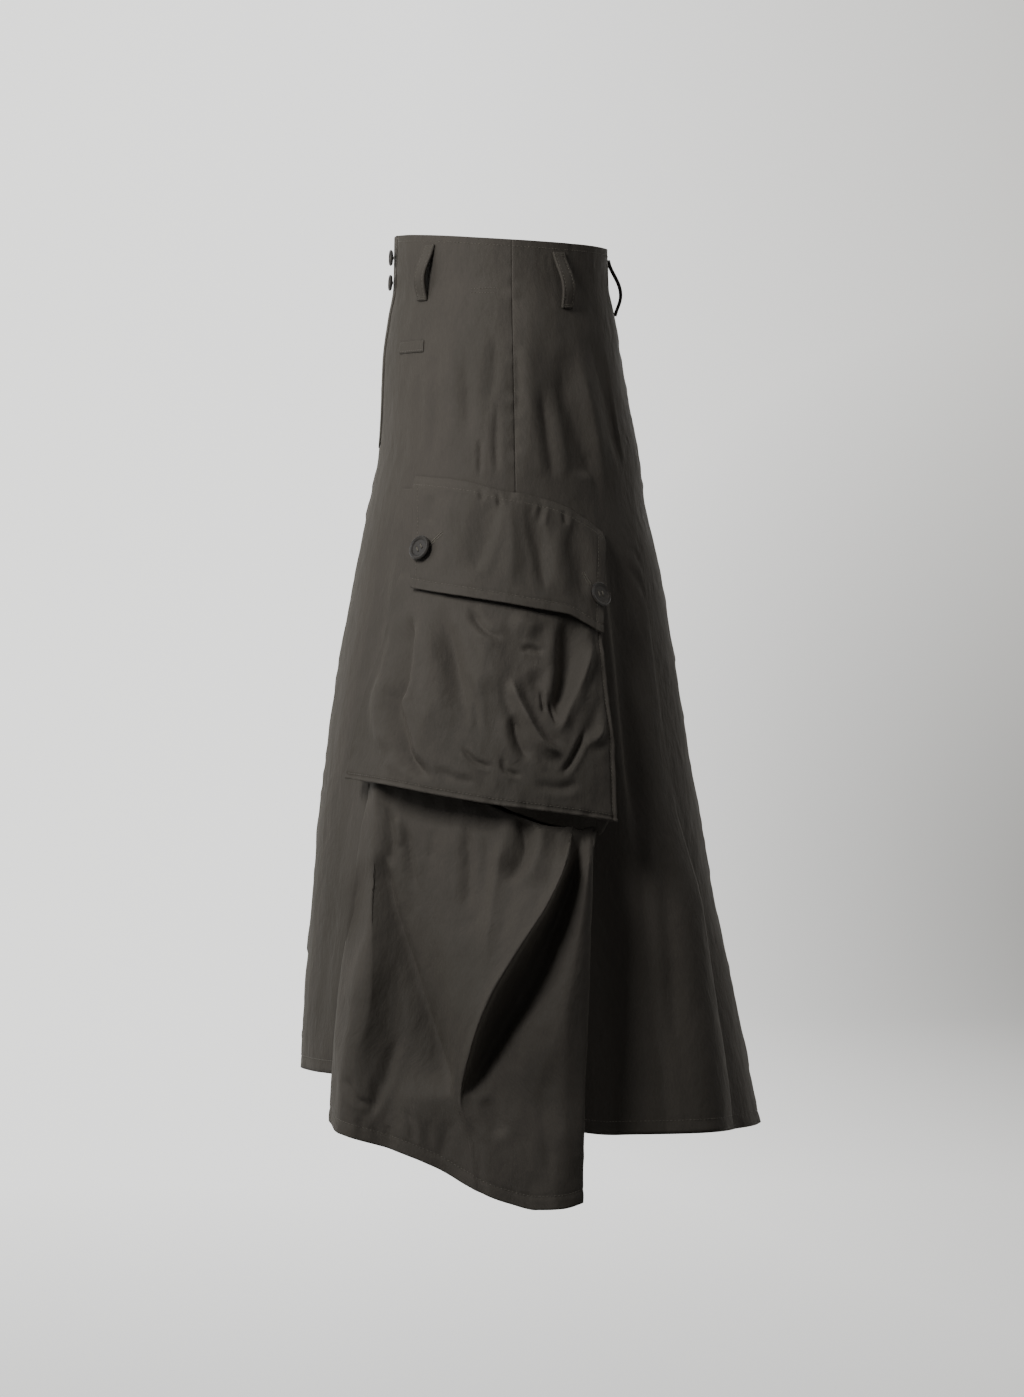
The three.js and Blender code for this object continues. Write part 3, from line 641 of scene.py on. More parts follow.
def pocket_points(rows, columns):
    """The pocket's slack face, with its folds and the stitched ridge along its back edge and its bottom.
    """
    t, v = grid(rows, columns)
    s = lerp(v, smooth(v, 0, 1), 0.6)
    turn, down = pocket_place(s, t)
    depth = pocket_depth(s, t)
    points = on_body(turn, down, depth)
    y = points[..., 1]
    free = smooth(t, 0.26, 0.42) * smooth(1 - t, 0.015, 0.08)
    inside = smooth(s, 0.012, 0.07) * smooth(1 - s, 0.012, 0.06)
    slack = FOLD_GAIN * creases(y, down, POCKET_FOLDS) + crumple(y, down, amount=1.7, seed=71)
    height = free * inside * slack
    side = np.minimum(s, 1 - s) * 250
    low = (1 - t) * LENGTHS["pocket"]
    height -= (s > 0.5) * smooth(t, 0.3, 0.36) * 1.1 * bell(side - FLANGE - 0.6, 1.3)
    height -= 1.1 * bell(low - FLANGE - 0.6, 1.3)
    height += 0.8 * smooth(t, 0.3, 0.4) * pucker(down, side, size=12, reach=14, seed=72)
    height += 1.3 * pucker(y, low, size=8, reach=12, seed=73)
    under_flap = read(FLAP_EDGE, turn) - down
    height -= np.minimum(3.2, 0.5 * depth) * smooth(under_flap, 5, 16)
    return raised(points, kept_above(height, 0.4 + 0.85 * depth))


def gusset_points(rows, columns):
    """The gusset: down the front side, along the bottom and up the back side as one strip, its
    sides pleated inwards and its bottom sagging towards the back."""
    r, w = grid(rows, columns)
    bulge = np.sin(np.pi * r) ** 2
    inset = FLANGE / POCKET_WIDTH
    t = lerp(GUSSET["from"], 1 - inset, np.clip(np.minimum(w, 1 - w) / GUSSET["side"], 0, 1))
    along = np.clip((w - GUSSET["side"]) / (1 - 2 * GUSSET["side"]), 0, 1)
    pleat = GUSSET["pleat"] * pocket_depth(along, t) * bulge / POCKET_WIDTH
    s = lerp(inset + pleat, 1 - inset - pleat, along)
    turn, down = pocket_place(s, t)
    low = smooth(turn, GUSSET_SAG["from"], GUSSET_SAG["full"]) * smooth(t, 0.9, 1 - inset)
    top = pocket_depth(s, t) - CLOTH - LAID
    points = on_body(turn, down + GUSSET_SAG["most"] * bulge * low, lerp(top, 2 * LAID, r))
    return raised(points, bulge * 1.1 * wander(w * 620, r * 30, (15, 18), 81))


def flap_stand(turn, down):
    """How far the flap stands off the skirt: over the pocket's top, then lifting to its edge."""
    below = down - flap_seam(turn)
    reach = read(FLAP_EDGE, turn) - flap_seam(turn)
    front, back = pocket_ends(0.25)
    t = np.clip((below - POCKET_TOP_BELOW_SEAM) / 270, 0, 1)
    under = pocket_depth(np.clip((turn - front) / (back - front), 0, 1), t)
    over = lerp(FLUSH, under + CLOTH + 0.4, smooth(below, 0, 9))
    return over + FLAP_LIFT * smooth(below / reach, 0.35, 1)


def flap_place(u, v):
    """Turn and depth of a place of the flap."""
    top, bottom = lerp(*flap_ends(0), v), lerp(*flap_ends(1), v)
    turn = lerp(top, bottom, u)
    return turn, lerp(flap_seam(turn), read(FLAP_EDGE, turn), u)


def flap_points(rows, columns):
    """The flap with its soft folds, the puckers of its seam and the line sewn near its edge."""
    u, v = grid(rows, columns)
    turn, down = flap_place(u, v)
    stand = flap_stand(turn, down)
    points = on_body(turn, down, stand)
    y = points[..., 1]
    below = down - flap_seam(turn)
    above = read(FLAP_EDGE, turn) - down
    side = np.minimum(v, 1 - v) * LENGTHS["flap_across"]
    height = smooth(u, 0, 0.1) * FOLD_GAIN * creases(y, down, FLAP_FOLDS)
    height += crumple(y, down, amount=0.6, seed=91) * smooth(u, 0, 0.2)
    height += 1.2 * pucker(y, below, size=9, reach=11, seed=92)
    height += 0.8 * pucker(y, above, size=10, reach=8, seed=93)
    height -= 0.8 * bell(below - 7, 1.4) + 0.6 * bell(above - FLAP_SEWN["edge"], 1.3)
    height -= 0.5 * bell(side - FLAP_SEWN["side"], 1.3)
    for at in FLAP_BUTTONS:
        height *= 1 - bell(np.hypot(y - at["y"], down - at["down"]), 13)
    return raised(points, kept_above(height, 0.6 + 0.45 * stand))


# The side drape
def drape_section(down):
    """The drape's section at each height: thirteen points (y, x) from front to back. Where its
    ends meet the skirt, how its face swells and where its crest rolls in are worked out here."""
    heights = np.array([row["down"] for row in DRAPE], float)
    named = []
    for name in list(DRAPE[0])[1:]:
        places = np.array([row[name] for row in DRAPE], float)
        named.append(np.array([hermite(heights, places[:, c : c + 1], down) for c in (0, 1)]))
    first, ridge, valley, crest, floor, shelf, last = named

    def on_skirt(at):
        """The skirt's (y, x) at a given y: its turn is the arccosine of -y over the half depth."""
        turn = np.degrees(np.arccos(np.clip(-at / half_depth(down, at < 0), -1, 1)))
        return on_body(turn, down, 2 * LAID + CLOTH / 2)[:, 1::-1].T

    wide = crest[0] - valley[0]
    face = lerp(valley, crest, 0.5)
    face[1] += CREST["swell"] * np.minimum(1, wide / CREST["wide"])
    near = lerp(crest, valley, np.minimum(CREST["before"] / wide, 0.25))
    lip = lerp(crest, floor, np.array([[CREST["lip_back"]], [CREST["lip_in"]]]))
    sheet = np.array([lerp(shelf[0], last[0], 0.5), np.maximum(shelf[1], last[1]) + 3])
    front, back = on_skirt(first[0] + DRAPE_RETURN), on_skirt(last[0] - DRAPE_RETURN)
    body = [front, first, ridge, valley, face, near, crest, lip, floor, shelf, sheet, last, back]
    return np.stack(body, 1)


def drape_plan(down, v):
    """The y and x of a place of the drape: a curve through its section's points."""
    shape = np.shape(v)
    section = drape_section(np.broadcast_to(down, shape).ravel())
    index = np.arange(section.shape[1], dtype=float)
    at = np.ravel(v) * (len(index) - 1)
    return [hermite(index, values, at).reshape(shape) for values in section]


def turn_of(y, x, down):
    """The turn at which a point of the plan lies."""
    return np.degrees(np.arctan2(x / read(SECTIONS, down, "left"), -y / half_depth(down, y <= 0)))


def gusset_under(y, x):
    """The lower side of the gusset, which the drape hangs from."""
    turn = turn_of(y, x, GUSSET["at"])
    skirt = on_body(turn, GUSSET["at"])
    stand = np.hypot(x, y) - np.hypot(skirt[..., 0], skirt[..., 1])
    bulge = np.sin(np.pi * np.clip(1 - stand / 34, 0, 1)) ** 2
    sag = GUSSET_SAG["most"] * bulge * smooth(turn, GUSSET_SAG["from"], GUSSET_SAG["full"])
    return read(POCKET_BOTTOM, turn) - FLANGE + sag


def drape_points(rows, columns):
    """The side drape: from inside the pocket's lower edge to its slanting hem, with its folds."""
    u, v = grid(rows, columns)
    ends = np.concatenate([[0], np.cumsum(DRAPE_COLUMNS)]) / sum(DRAPE_COLUMNS)
    v = np.interp(v, ends, np.linspace(0, 1, len(ends)))
    line = v[0]
    y0, x0 = drape_plan(DRAPE_TUCK["at"], line)
    turn = turn_of(y0, x0, DRAPE_TUCK["at"])
    limit = on_body(turn, 520, pocket_depth(0.5, 1) - DRAPE_TUCK["inside"])[:, 0]
    tuck = np.minimum(x0, limit)
    top = gusset_under(y0, tuck) + DRAPE_TUCK["below"]
    hem = read(DRAPE_HEM, drape_plan(830, line)[0])
    down = lerp(top, hem, u)
    y, x = drape_plan(down, v)
    eased = smooth(down - top, 0, DRAPE_TUCK["eases"])
    points = np.stack([lerp(tuck + 0 * x, x, eased), y, -down], -1)
    shown = smooth(v, 0.06, 0.12) * smooth(1 - v, 0.06, 0.12)
    along = y + 0.6 * x
    height = shown * creases(y, down, DRAPE_FOLDS)
    height += crumple(along, down, amount=1.2, seed=101)
    height += 2.2 * pucker(along, down - top, size=12, reach=22, seed=102)
    height += hem_relief(along, hem - down, 103)
    return raised(points, height * smooth(u, 0, 0.02))


# Meshes
def mesh_object(name, vertices, faces, uv=None, material=None):
    """A smooth mesh object at the origin from points in millimetres and faces of one size."""
    mesh = bpy.data.meshes.new(name)
    mesh.from_pydata(vertices / 1000, [], faces.tolist(), shade_flat=False)
    if uv is not None:
        layer = mesh.uv_layers.new(name="cloth")
        layer.data.foreach_set("uv", uv[faces.ravel()].astype(np.float32).ravel())
    obj = bpy.data.objects.new(name, mesh)
    bpy.context.scene.collection.objects.link(obj)
    if material:
        mesh.materials.append(material)
    return obj


def cloth(name, points, thick=CLOTH, material=None):
    """A closed wall: the outer grid, the same grid moved inwards, and a strip round the border.
    Its UV map holds lengths along the cloth in metres."""
    rows, columns = points.shape[0] - 1, points.shape[1] - 1
    outer = points.reshape(-1, 3)
    inner = (points - normals(points) * thick).reshape(-1, 3)
    i, j = np.meshgrid(np.arange(rows), np.arange(columns), indexing="ij")
    a = (i * (columns + 1) + j).ravel()
    right, below = 1, columns + 1
    far = len(outer)
    front = np.stack([a, a + below, a + below + right, a + right], -1)
    back = front[:, ::-1] + far
    ring = np.concatenate([
        np.arange(columns), np.arange(rows) * below + columns,
        rows * below + np.arange(columns, 0, -1), np.arange(rows, 0, -1) * below,
    ])
    after = np.roll(ring, -1)
    strip = np.stack([ring, after, after + far, ring + far], -1)
    down = np.linalg.norm(np.diff(points, axis=0), axis=-1)
    across = np.linalg.norm(np.diff(points, axis=1), axis=-1)
    v = np.vstack([np.zeros(columns + 1), np.cumsum(down, axis=0)])
    u = np.hstack([np.zeros((rows + 1, 1)), np.cumsum(across, axis=1)])
    u = u - u[:, columns // 2 : columns // 2 + 1]
    uv = np.tile(np.stack([u, -v], -1).reshape(-1, 2) / 1000, (2, 1))
    return mesh_object(name, np.vstack([outer, inner]), np.vstack([front, back, strip]), uv, material)


def at_grid(points, u, v):
    """Points and normals of a finished grid at shares u and v, blended between its four nearest."""
    rows, columns = points.shape[0] - 1, points.shape[1] - 1
    n = normals(points)
    x, y = np.clip(u, 0, 1) * rows, np.clip(v, 0, 1) * columns
    i = np.minimum(x.astype(int), rows - 1)
    j = np.minimum(y.astype(int), columns - 1)
    fx, fy = (x - i)[:, None], (y - j)[:, None]

    def blend(g):
        """A grid's values between its four nearest points, by straight lines both ways."""
        return lerp(lerp(g[i, j], g[i, j + 1], fy), lerp(g[i + 1, j], g[i + 1, j + 1], fy), fx)

    return blend(points), unit(blend(n))


def travelled(points):
    """The length run along a line up to each of its points."""
    return np.concatenate([[0], np.cumsum(np.linalg.norm(np.diff(points, axis=0), axis=1))])


def along_line(at, run, values):
    """A line's values, three to each of its points, read at lengths along it."""
    return np.stack([np.interp(at, run, values[:, k]) for k in range(3)], -1)


def row_of_stitches(points, u, v, length=2.6, gap=0.9, radius=0.26):
    """Straight stitches along a line drawn on a grid by its shares u and v."""
    p, n = at_grid(points, u, v)
    run = travelled(p)
    starts = np.arange(gap, run[-1] - length, length + gap)
    at = starts[:, None] + np.linspace(0, length, 4)
    return along_line(at, run, p), along_line(at, run, n), radius


def threads(name, groups, material):
    """All the stitches of some rows as one mesh: each a six-sided tube along its four points,
    pulled into the cloth at both ends."""
    vertices, faces, count = [], [], 0
    height = np.array([-0.25, 0.55, 0.55, -0.25])
    girth = np.array([0.5, 1.0, 1.0, 0.5])
    for line, lift, radius in groups:
        if not len(line):
            continue
        tangent = unit(line[:, -1:] - line[:, :1])
        side = unit(np.cross(np.broadcast_to(tangent, line.shape), lift))
        centre = line + lift * (radius * height)[None, :, None]
        angle = np.radians(np.arange(6) * 60)
        ring = (
            side[:, :, None] * np.cos(angle)[None, None, :, None]
            + lift[:, :, None] * np.sin(angle)[None, None, :, None]
        )
        tube = centre[:, :, None] + ring * (radius * girth)[None, :, None, None]
        base = count + np.arange(len(line))[:, None, None] * 24
        r, k = np.meshgrid(np.arange(3), np.arange(6), indexing="ij")
        here, beside = r * 6 + k, r * 6 + (k + 1) % 6
        quads = np.stack([here, beside, beside + 6, here + 6], -1)
        caps = np.array([[0, 5, 4, 3], [0, 3, 2, 1], [18, 19, 20, 21], [18, 21, 22, 23]])
        both = np.concatenate([quads.reshape(-1, 4), caps])
        faces.append((base + both[None]).reshape(-1, 4))
        vertices.append(tube.reshape(-1, 3))
        count += len(line) * 24
    return mesh_object(name, np.vstack(vertices), np.vstack(faces), material=material)


# Materials
def linear(code):
    """An sRGB hex colour as linear values."""
    values = [int(code[i : i + 2], 16) / 255 for i in (1, 3, 5)]
    return [v / 12.92 if v <= 0.04045 else ((v + 0.055) / 1.055) ** 2.4 for v in values] + [1.0]


def node(tree, kind, settings=None, **inputs):
    """Adds a shader node, sets its properties, and sets or links its inputs, which are given by
    name, or as i0, i1 and so on by number. It gives the node's output: "Fac" if it has one."""
    made = tree.nodes.new("ShaderNode" + kind)
    for key, value in (settings or {}).items():
        setattr(made, key, value)
    for key, value in inputs.items():
        numbered = key[0] == "i" and key[1:].isdigit()
        place = made.inputs[int(key[1:]) if numbered else key.replace("_", " ")]
        if isinstance(value, bpy.types.NodeSocket):
            tree.links.new(value, place)
        else:
            place.default_value = value
    return made.outputs.get("Fac") or made.outputs[0]


def new_material(name):
    """An empty node material, its tree and its output."""
    material = bpy.data.materials.new(name)
    material.use_nodes = True
    material.node_tree.nodes.clear()
    return material, material.node_tree, material.node_tree.nodes.new("ShaderNodeOutputMaterial")


def ramp(tree, value, stops):
    """A colour ramp with stops of (place, hex colour)."""
    made = node(tree, "ValToRGB", Fac=value).node
    elements = made.color_ramp.elements
    for k, (place, code) in enumerate(stops):
        element = elements[k] if k < 2 else elements.new(place)
        element.position = place
        element.color = linear(code)
    return made.outputs["Color"]


def shaded(tree, output, **inputs):
    """A Principled shader with these inputs, on the material's output."""
    shader = node(tree, "BsdfPrincipled", **inputs)
    tree.links.new(shader, output.inputs["Surface"])


def cloth_material():
    """Washed typewriter cloth, cotton and nylon in a tight plain weave, dark olive brown: to the eye
    matt with a faint dry sheen on the bends, finely crinkled, a shade uneven from the wash."""
    material, tree, output = new_material("washed_typewriter_cloth")
    place = node(tree, "TexCoord").node.outputs
    uv = place["UV"]
    cloud = node(tree, "TexNoise", Vector=place["Object"], Scale=9.0, Detail=4.0)
    stretch = node(tree, "Mapping", Vector=uv, Scale=(1.0, 0.32, 1.0))
    slub = node(tree, "TexNoise", Vector=stretch, Scale=520.0, Detail=3.0)
    mix = {"i0": slub, "i1": 0.35, "i2": cloud}
    tone = node(tree, "Math", {"operation": "MULTIPLY_ADD"}, **mix)
    colour = ramp(tree, tone, [(0.45, CLOTH_DARK), (0.9, CLOTH_LIGHT)])
    # Warp and weft, a wave of each to a millimetre, so that the light breaks on them in close views
    waves = {}
    for across in "XY":
        settings = {"bands_direction": across, "wave_profile": "SIN"}
        look = {"Scale": 318.0, "Distortion": 1.2, "Detail": 1.0}
        waves[across] = node(tree, "TexWave", settings, Vector=uv, **look)
    weave = node(tree, "Math", {"operation": "MAXIMUM"}, i0=waves["X"], i1=waves["Y"])
    # Crinkle left by washing: folds of 5 to 20 mm, longer down the cloth than across
    long = node(tree, "Mapping", Vector=uv, Scale=(1.0, 0.5, 1.0))
    look = {"Scale": 62.0, "Detail": 5.0, "Roughness": 0.58, "Distortion": 0.15}
    crinkle = node(tree, "TexNoise", Vector=long, **look)
    fine = node(tree, "Bump", Strength=0.25, Distance=0.00012, Height=weave)
    soft = node(tree, "Bump", Strength=0.6, Distance=0.0028, Height=crinkle, Normal=fine)
    shaded(
        tree, output, Base_Color=colour, Roughness=0.78, Normal=soft, Sheen_Weight=0.08,
        Sheen_Roughness=0.5, Sheen_Tint=linear("#8f8878"), Specular_IOR_Level=0.15,
    )
    return material


def thread_material():
    """Spun polyester thread a shade paler than the cloth: to the eye small matt beads with a glint."""
    material, tree, output = new_material("sewing_thread")
    place = node(tree, "TexCoord").node.outputs["Object"]
    ply = node(tree, "TexNoise", Vector=place, Scale=900.0, Detail=2.0)
    colour = ramp(tree, ply, [(0.3, "#4e4942"), (0.7, "#6b665b")])
    shaded(tree, output, Base_Color=colour, Roughness=0.6, Specular_IOR_Level=0.4)
    return material


def button_material():
    """Dyed corozo nut, nearly black brown: to the eye satin, faintly streaked, with a soft gloss."""
    material, tree, output = new_material("dyed_corozo")
    place = node(tree, "TexCoord").node.outputs["Object"]
    streak = node(tree, "Mapping", Vector=place, Scale=(0.6, 0.6, 3.0))
    grain = node(tree, "TexNoise", Vector=streak, Scale=160.0, Detail=4.0)
    colour = ramp(tree, grain, [(0.3, "#14110f"), (0.7, "#29241f")])
    gloss = node(tree, "MapRange", Value=grain, To_Min=0.42, To_Max=0.56)
    bump = node(tree, "Bump", Strength=0.12, Distance=0.0002, Height=grain)
    look = {"Roughness": gloss, "Normal": bump, "Specular_IOR_Level": 0.3}
    shaded(tree, output, Base_Color=colour, **look)
    return material


CLOTH_DARK = "#4b4741"
CLOTH_LIGHT = "#55504a"
fabric = cloth_material()
thread = thread_material()
corozo = button_material()


def sewn(obj, *nodes, kit_slot="cloth"):
    """Ties a piece to the root, and hides the parts of model.glb that it stands for. Its finish is not
    set here: kit_slot is not used.
    """
    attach(obj, "root")
    if nodes:
        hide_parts(*nodes)
    return obj


# The main panels
PANELS = table(
    "name from to columns",
    ("front_left", 0, SIDE_SEAM_TURN, 140),
    ("back_left", SIDE_SEAM_TURN, 180, 110),
    ("back_right", 180, 360 - SIDE_SEAM_TURN, 56),
    ("front_right", 360 - SIDE_SEAM_TURN, 360, 56),
)
PANEL_ROWS = 300  # the same on all, so that they meet at their seams
surface = {}
for row in PANELS:
    surface[row["name"]] = panel(row["from"], row["to"], PANEL_ROWS, row["columns"])

# The pieces laid on them
u, v = grid(90, 22)
lateral, down, flat = fly_points(u, v)
edge_line = bell(FLY["left"] - 7 - lateral, 1.3) * 0.4
from_edge = (1 - v) * LENGTHS["lap_across"]
surface["fly_lap"] = raised(flat, 0.5 * pucker(down, from_edge, size=11, reach=9, seed=41) - edge_line)
u, v = grid(8, 44)
surface["coin_welt"] = raised(
    on_body(lerp(WELT["from"], WELT["to"], v), WELT["down"] + WELT["height"] * u, FLUSH),
    0.3 * wander(v * 40, u * 11, (8, 8), seed=51) + 0.3 * np.sin(np.pi * u) ** 0.5,
)
LOOPS = table(
    "name top bottom bulge on",
    ("belt_loop_front_left", 49.3, 46, 8.5, ["front_left"]),
    ("belt_loop_side_left", 122, 125, 9, ["back_left"]),
    ("belt_loop_back", 180, 180, 10, ["back_left", "back_right"]),
    ("belt_loop_side_right", 238, 235, 9, ["back_right"]),
    ("belt_loop_front_right", 310.7, 314, 8.5, ["front_right"]),
)
for row in LOOPS:
    surface[row["name"]] = loop_points(row["top"], row["bottom"], row["bulge"], 44, 12)

# The pocket and the drape
surface["cargo_pocket"] = pocket_points(150, 180)
surface["pocket_gusset"] = gusset_points(26, 200)
surface["cargo_flap"] = flap_points(90, 180)
surface["side_drape"] = drape_points(190, 240)

# Each cut piece: its flat width and length in metres, its area, how it is held, and on which others
CUTS = table(
    "name flat area held on",
    ("front_left", (0.36, 0.79), 0.2, "hung", []),
    ("back_left", (0.4, 0.84), 0.22, "hung", []),
    ("back_right", (0.45, 0.84), 0.24, "hung", []),
    ("front_right", (0.43, 0.79), 0.22, "hung", []),
    ("fly_lap", (0.042, 0.196), 0.008, "laid", ["front_left"]),
    ("coin_welt", (0.041, 0.011), 0.00044, "laid", ["front_left"]),
    *[(loop["name"], (0.013, 0.057), 0.00074, "stretched", loop["on"]) for loop in LOOPS],
    ("cargo_pocket", (0.28, 0.3), 0.075, "hung", ["front_left", "back_left"]),
    ("pocket_gusset", (0.62, 0.036), 0.0185, "folded", ["cargo_pocket"]),
    ("cargo_flap", (0.24, 0.11), 0.0235, "laid", ["cargo_pocket"]),
    ("side_drape", (0.43, 0.38), 0.145, "draped", ["cargo_pocket"]),
)
for cut in CUTS:
    name = cut["name"]
    thick = LOOP["folded"] if name.startswith("belt_loop") else CLOTH
    sewn(cloth(name + "_cloth", surface[name], thick, fabric), name)

# The buttons keep their solids, under the same finish
BUTTONS = ("waist_button_1", "waist_button_2", "flap_button_front", "flap_button_back")
for name in BUTTONS:
    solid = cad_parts[name]
    solid.data.materials.clear()
    solid.data.materials.append(corozo)


# Stitching
rows = []


def sew(name, u, v, count, **thread_size):
    """Adds a row of stitches on a piece. Its u and v are each one share, or two to run between."""
    ends = [np.broadcast_to(share, 2) for share in (u, v)]
    line = [np.linspace(first, last, count) for first, last in ends]
    rows.append(row_of_stitches(surface[name], *line, **thread_size))


EDGE_TO_EDGE = (0.004, 0.996)
MOST = (0.02, 0.98)
for row in PANELS:
    for share in (RIM["sewn"] / LENGTHS["panel"], 1 - HEM["sewn"] / LENGTHS["panel"]):
        sew(row["name"], share ** (1 / PANEL_CROWD), EDGE_TO_EDGE, 400)
sew("side_drape", 1 - HEM["sewn"] / LENGTHS["drape"], (0.06, 0.95), 400)
for share in (FLAP_SEWN["seam"] / LENGTHS["flap"], 1 - FLAP_SEWN["edge"] / LENGTHS["flap"]):
    sew("cargo_flap", share, EDGE_TO_EDGE, 400)
side = FLAP_SEWN["side"] / LENGTHS["flap_across"]
for share in (side, 1 - side):
    sew("cargo_flap", (0.1, 0.92), share, 200)
sew("cargo_pocket", 1 - 5.5 / LENGTHS["pocket"], MOST, 400)
sew("cargo_pocket", (0.3, 0.98), 0.97, 300)
sew("fly_lap", (0.01, 0.9), 1 - 7 / LENGTHS["lap_across"], 200)
sew("fly_lap", (0.01, 0.97), 0.06, 200)
sew("coin_welt", 0.82, MOST, 60)
for row in LOOPS:
    for share in (0.17, 0.83):
        sew(row["name"], MOST, share, 80)
    for share in (0.03, 0.06, 0.94, 0.97):
        sew(row["name"], share, (0.1, 0.9), 20, length=1.6, gap=0.1)


def nearest(points, y, down):
    """The shares u and v of a grid's point that lies nearest to a place seen from the side."""
    far = np.hypot(points[..., 1] - y, points[..., 2] + down)
    i, j = np.unravel_index(np.argmin(far), far.shape)
    return i / (points.shape[0] - 1), j / (points.shape[1] - 1)


def between(points, start, end, count):
    """Shares u and v along a straight line between two places seen from the side."""
    (u0, v0), (u1, v1) = nearest(points, *start), nearest(points, *end)
    return np.linspace(u0, u1, count), np.linspace(v0, v1, count)


def satin(points, start, end, width, shift=0.0, pitch=0.6, radius=0.3):
    """A close row of short stitches across the line between two places."""
    p, n = at_grid(points, *between(points, start, end, 60))
    run = travelled(p)
    at = np.arange(0, run[-1], pitch)
    p, n = along_line(at, run, p), along_line(at, run, n)
    side = unit(np.cross(n, p[-1] - p[0]))
    across = (np.linspace(-0.5, 0.5, 4) * width + shift)[None, :, None]
    return p[:, None] + side[:, None] * across, np.repeat(n[:, None], 4, 1), radius


def button_strands(solid, radius=0.34):
    """The thread through a button's four holes: two pairs of holes, three strands to a pair. The
    button's axis is its points' narrowest direction, and its holes show by the points round them."""
    points = np.array([solid.matrix_world @ v.co for v in solid.data.vertices]) * 1000
    centre = (points.max(0) + points.min(0)) / 2
    axis = np.linalg.svd(points - points.mean(0), full_matrices=False)[2][2]
    axis = axis * np.sign(axis @ np.append(centre[:2], 0))
    first = unit(np.cross(axis, [0, 0, 1]))
    second = np.cross(axis, first)
    flat = (points - centre) @ np.stack([first, second], -1)
    reach = np.hypot(*flat.T)
    near = (reach > 0.12 * reach.max()) & (reach < 0.45 * reach.max())
    turn = np.angle(np.exp(4j * np.arctan2(flat[near, 1], flat[near, 0])).sum()) / 4
    top = ((points - centre) @ axis)[near].max()
    quarter = turn + np.pi / 2 * np.arange(4)
    holes = centre + axis * top + 0.283 * reach.max() * (
        np.cos(quarter)[:, None] * first + np.sin(quarter)[:, None] * second
    )
    lines = []
    for a, b in ((holes[0], holes[1]), (holes[3], holes[2])):
        side = np.cross(axis, b - a) / np.linalg.norm(b - a)
        for shift in (-0.45, 0.0, 0.45):
            lines.append(a + (b - a) * np.linspace(-0.1, 1.1, 4)[:, None] + side * shift)
    lines = np.array(lines)
    return lines, np.broadcast_to(axis, lines.shape), radius


# The two sides of each buttonhole
for at in FLAP_BUTTONS:
    for shift in (-1.15, 1.15):
        rows.append(satin(surface["cargo_flap"], *at["hole"], 1.5, shift))
# The short double row below the waist, as seen from the side
WAIST_TACK = {"y": (-27, -2), "downs": (49.5, 53.5)}
for down in WAIST_TACK["downs"]:
    tack = between(surface["front_left"], *[(y, down) for y in WAIST_TACK["y"]], 40)
    rows.append(row_of_stitches(surface["front_left"], *tack, length=1.9, gap=0.7, radius=0.3))
# The thread on the buttons
for name in BUTTONS:
    rows.append(button_strands(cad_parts[name]))
sewn(threads("stitching", rows, thread))


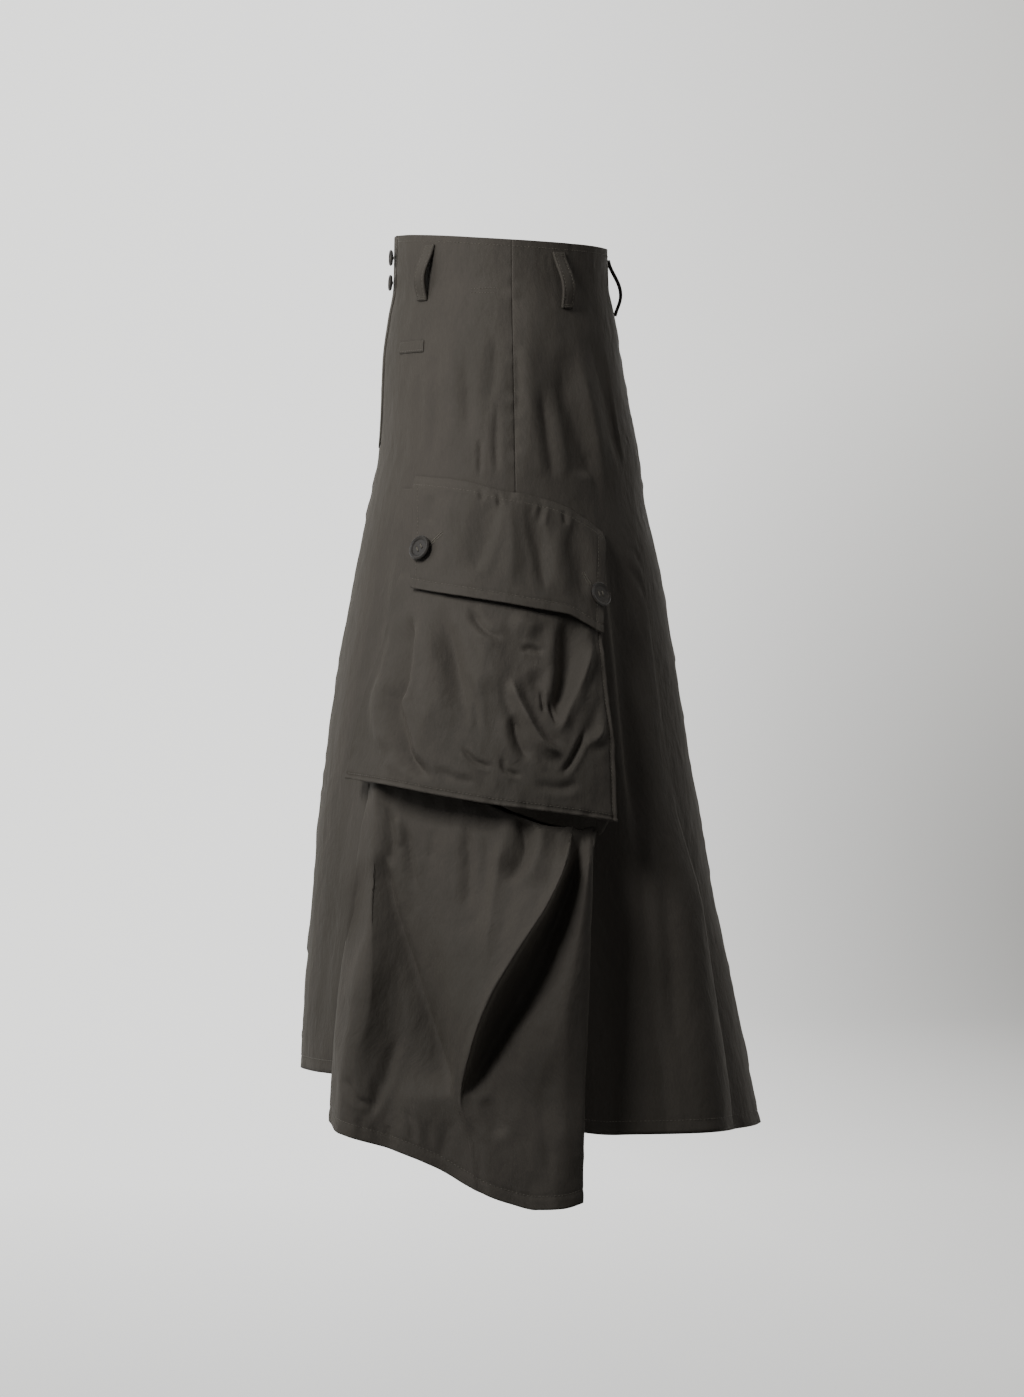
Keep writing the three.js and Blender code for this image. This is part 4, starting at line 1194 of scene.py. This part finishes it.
# Backdrop, light and camera
def backdrop():
    """A seamless pale grey sweep, turned round the upright axis: a profile that runs out along the
    floor, bends up in a quarter circle to a wall, and closes overhead in another. No lamp lights
    it: it glows, and its brightness is painted light, paler on the left and darker on the right."""
    floor, wall, bend, high, dome = -1040.0, 7600.0, 1500.0, 5000.0, 2500.0
    flat, turns = 11, 72
    quarter = np.radians(np.linspace(0, 90, 16))
    out = np.linspace(0, wall - bend, flat + 1)[:-1]
    radius = np.concatenate([out, wall - bend * (1 - np.sin(quarter)), wall * np.cos(quarter)])
    rise, over = bend * (1 - np.cos(quarter)), dome * np.sin(quarter)
    height = np.concatenate([np.full(flat, floor), floor + rise, high + over])
    angle = np.radians(np.arange(turns) * 360 / turns)
    points = np.stack([
        radius[:, None] * np.cos(angle), radius[:, None] * np.sin(angle), height[:, None] + 0 * angle,
    ], -1)
    i, j = np.meshgrid(np.arange(len(radius) - 1), np.arange(turns), indexing="ij")
    here, beside = (i * turns + j).ravel(), (i * turns + (j + 1) % turns).ravel()
    faces = np.stack([here, beside, beside + turns, here + turns], -1)
    material, tree, output = new_material("painted_light_sweep")
    place = node(tree, "TexCoord").node.outputs["Object"]
    axes = node(tree, "SeparateXYZ", Vector=place).node.outputs
    # Painted light: the sweep glows instead of being lit, paler on the left and greyer on the right, as
    # if light fell across it from the left
    fade = node(tree, "MapRange", Value=axes["Y"], From_Min=-1.9, From_Max=1.9)
    colour = ramp(tree, fade, [(0.2, "#dcdcda"), (0.45, "#d6d6d5"), (0.8, "#a9a8a5")])
    # Painted shade: the glow is dimmer in a patch low on the right, and it falls off towards the camera's
    # side
    where = {"Location": (-7.6, 1.3, -0.95), "Scale": (9.0, 1.4, 1.4)}
    low_right = node(tree, "Mapping", {"vector_type": "TEXTURE"}, Vector=place, **where)
    painted_shade_patch = node(tree, "TexGradient", {"gradient_type": "SPHERICAL"}, Vector=low_right)
    power = node(tree, "MapRange", Value=painted_shade_patch, To_Min=2.5, To_Max=0.9)
    fall = {"From_Min": -2.0, "From_Max": 3.0, "To_Min": 1.0, "To_Max": 0.4}
    ahead = node(tree, "MapRange", Value=axes["X"], **fall)
    both = node(tree, "Math", {"operation": "MULTIPLY"}, i0=power, i1=ahead)
    glow = node(tree, "Emission", Color=colour, Strength=both)
    tree.links.new(glow, output.inputs["Surface"])
    sweep = mesh_object("backdrop", points.reshape(-1, 3), faces, material=material)
    sweep.visible_diffuse = False
    sweep.visible_shadow = False


def lamp(name, place, target, size, power, colour):
    """A soft box: an area light at a place, turned to a target, both in metres."""
    data = bpy.data.lights.new(name, "AREA")
    data.shape = "RECTANGLE"
    data.size, data.size_y = size
    data.energy = power
    data.color = linear(colour)[:3]
    obj = bpy.data.objects.new(name, data)
    bpy.context.scene.collection.objects.link(obj)
    away = np.array(target) - np.array(place)
    obj.location = place
    obj.visible_camera = False
    tilt = math.acos(away[2] / np.linalg.norm(away)) - math.pi
    obj.rotation_euler = (tilt, 0, math.atan2(away[1], away[0]) + math.pi / 2)


backdrop()
# The key comes from the front left, low and near; the front and the fill are weaker, and the rear
# one lights the hidden sides
lamp("key", (1.42, -0.86, 0.62), (0.1, 0, -0.1), (0.5, 0.7), 23.5, "#ffffff")
lamp("front", (0.62, -1.9, 0.62), (0.1, 0, -0.1), (0.8, 1.0), 9.0, "#ffffff")
lamp("fill", (0.5, 1.7, 0.7), (0.1, 0.1, -0.2), (0.7, 1.2), 1.5, "#fff4ec")
lamp("rear", (-2.0, 0.3, 0.6), (-0.1, 0.05, -0.35), (1.2, 1.2), 22, "#ffffff")
world = bpy.data.worlds.new("room")
world.use_nodes = True
room = world.node_tree.nodes["Background"].inputs
room["Color"].default_value = linear("#d4d2cf")
room["Strength"].default_value = 0.022
bpy.context.scene.world = world

view = bpy.data.cameras.new("camera")
view.lens, view.sensor_width = 157.1, 36
camera = bpy.data.objects.new("camera", view)
camera.location = (5.7, 0.01075, -0.4245)
camera.rotation_euler = (math.pi / 2, 0, math.pi / 2)
bpy.context.scene.collection.objects.link(camera)
bpy.context.scene.camera = camera
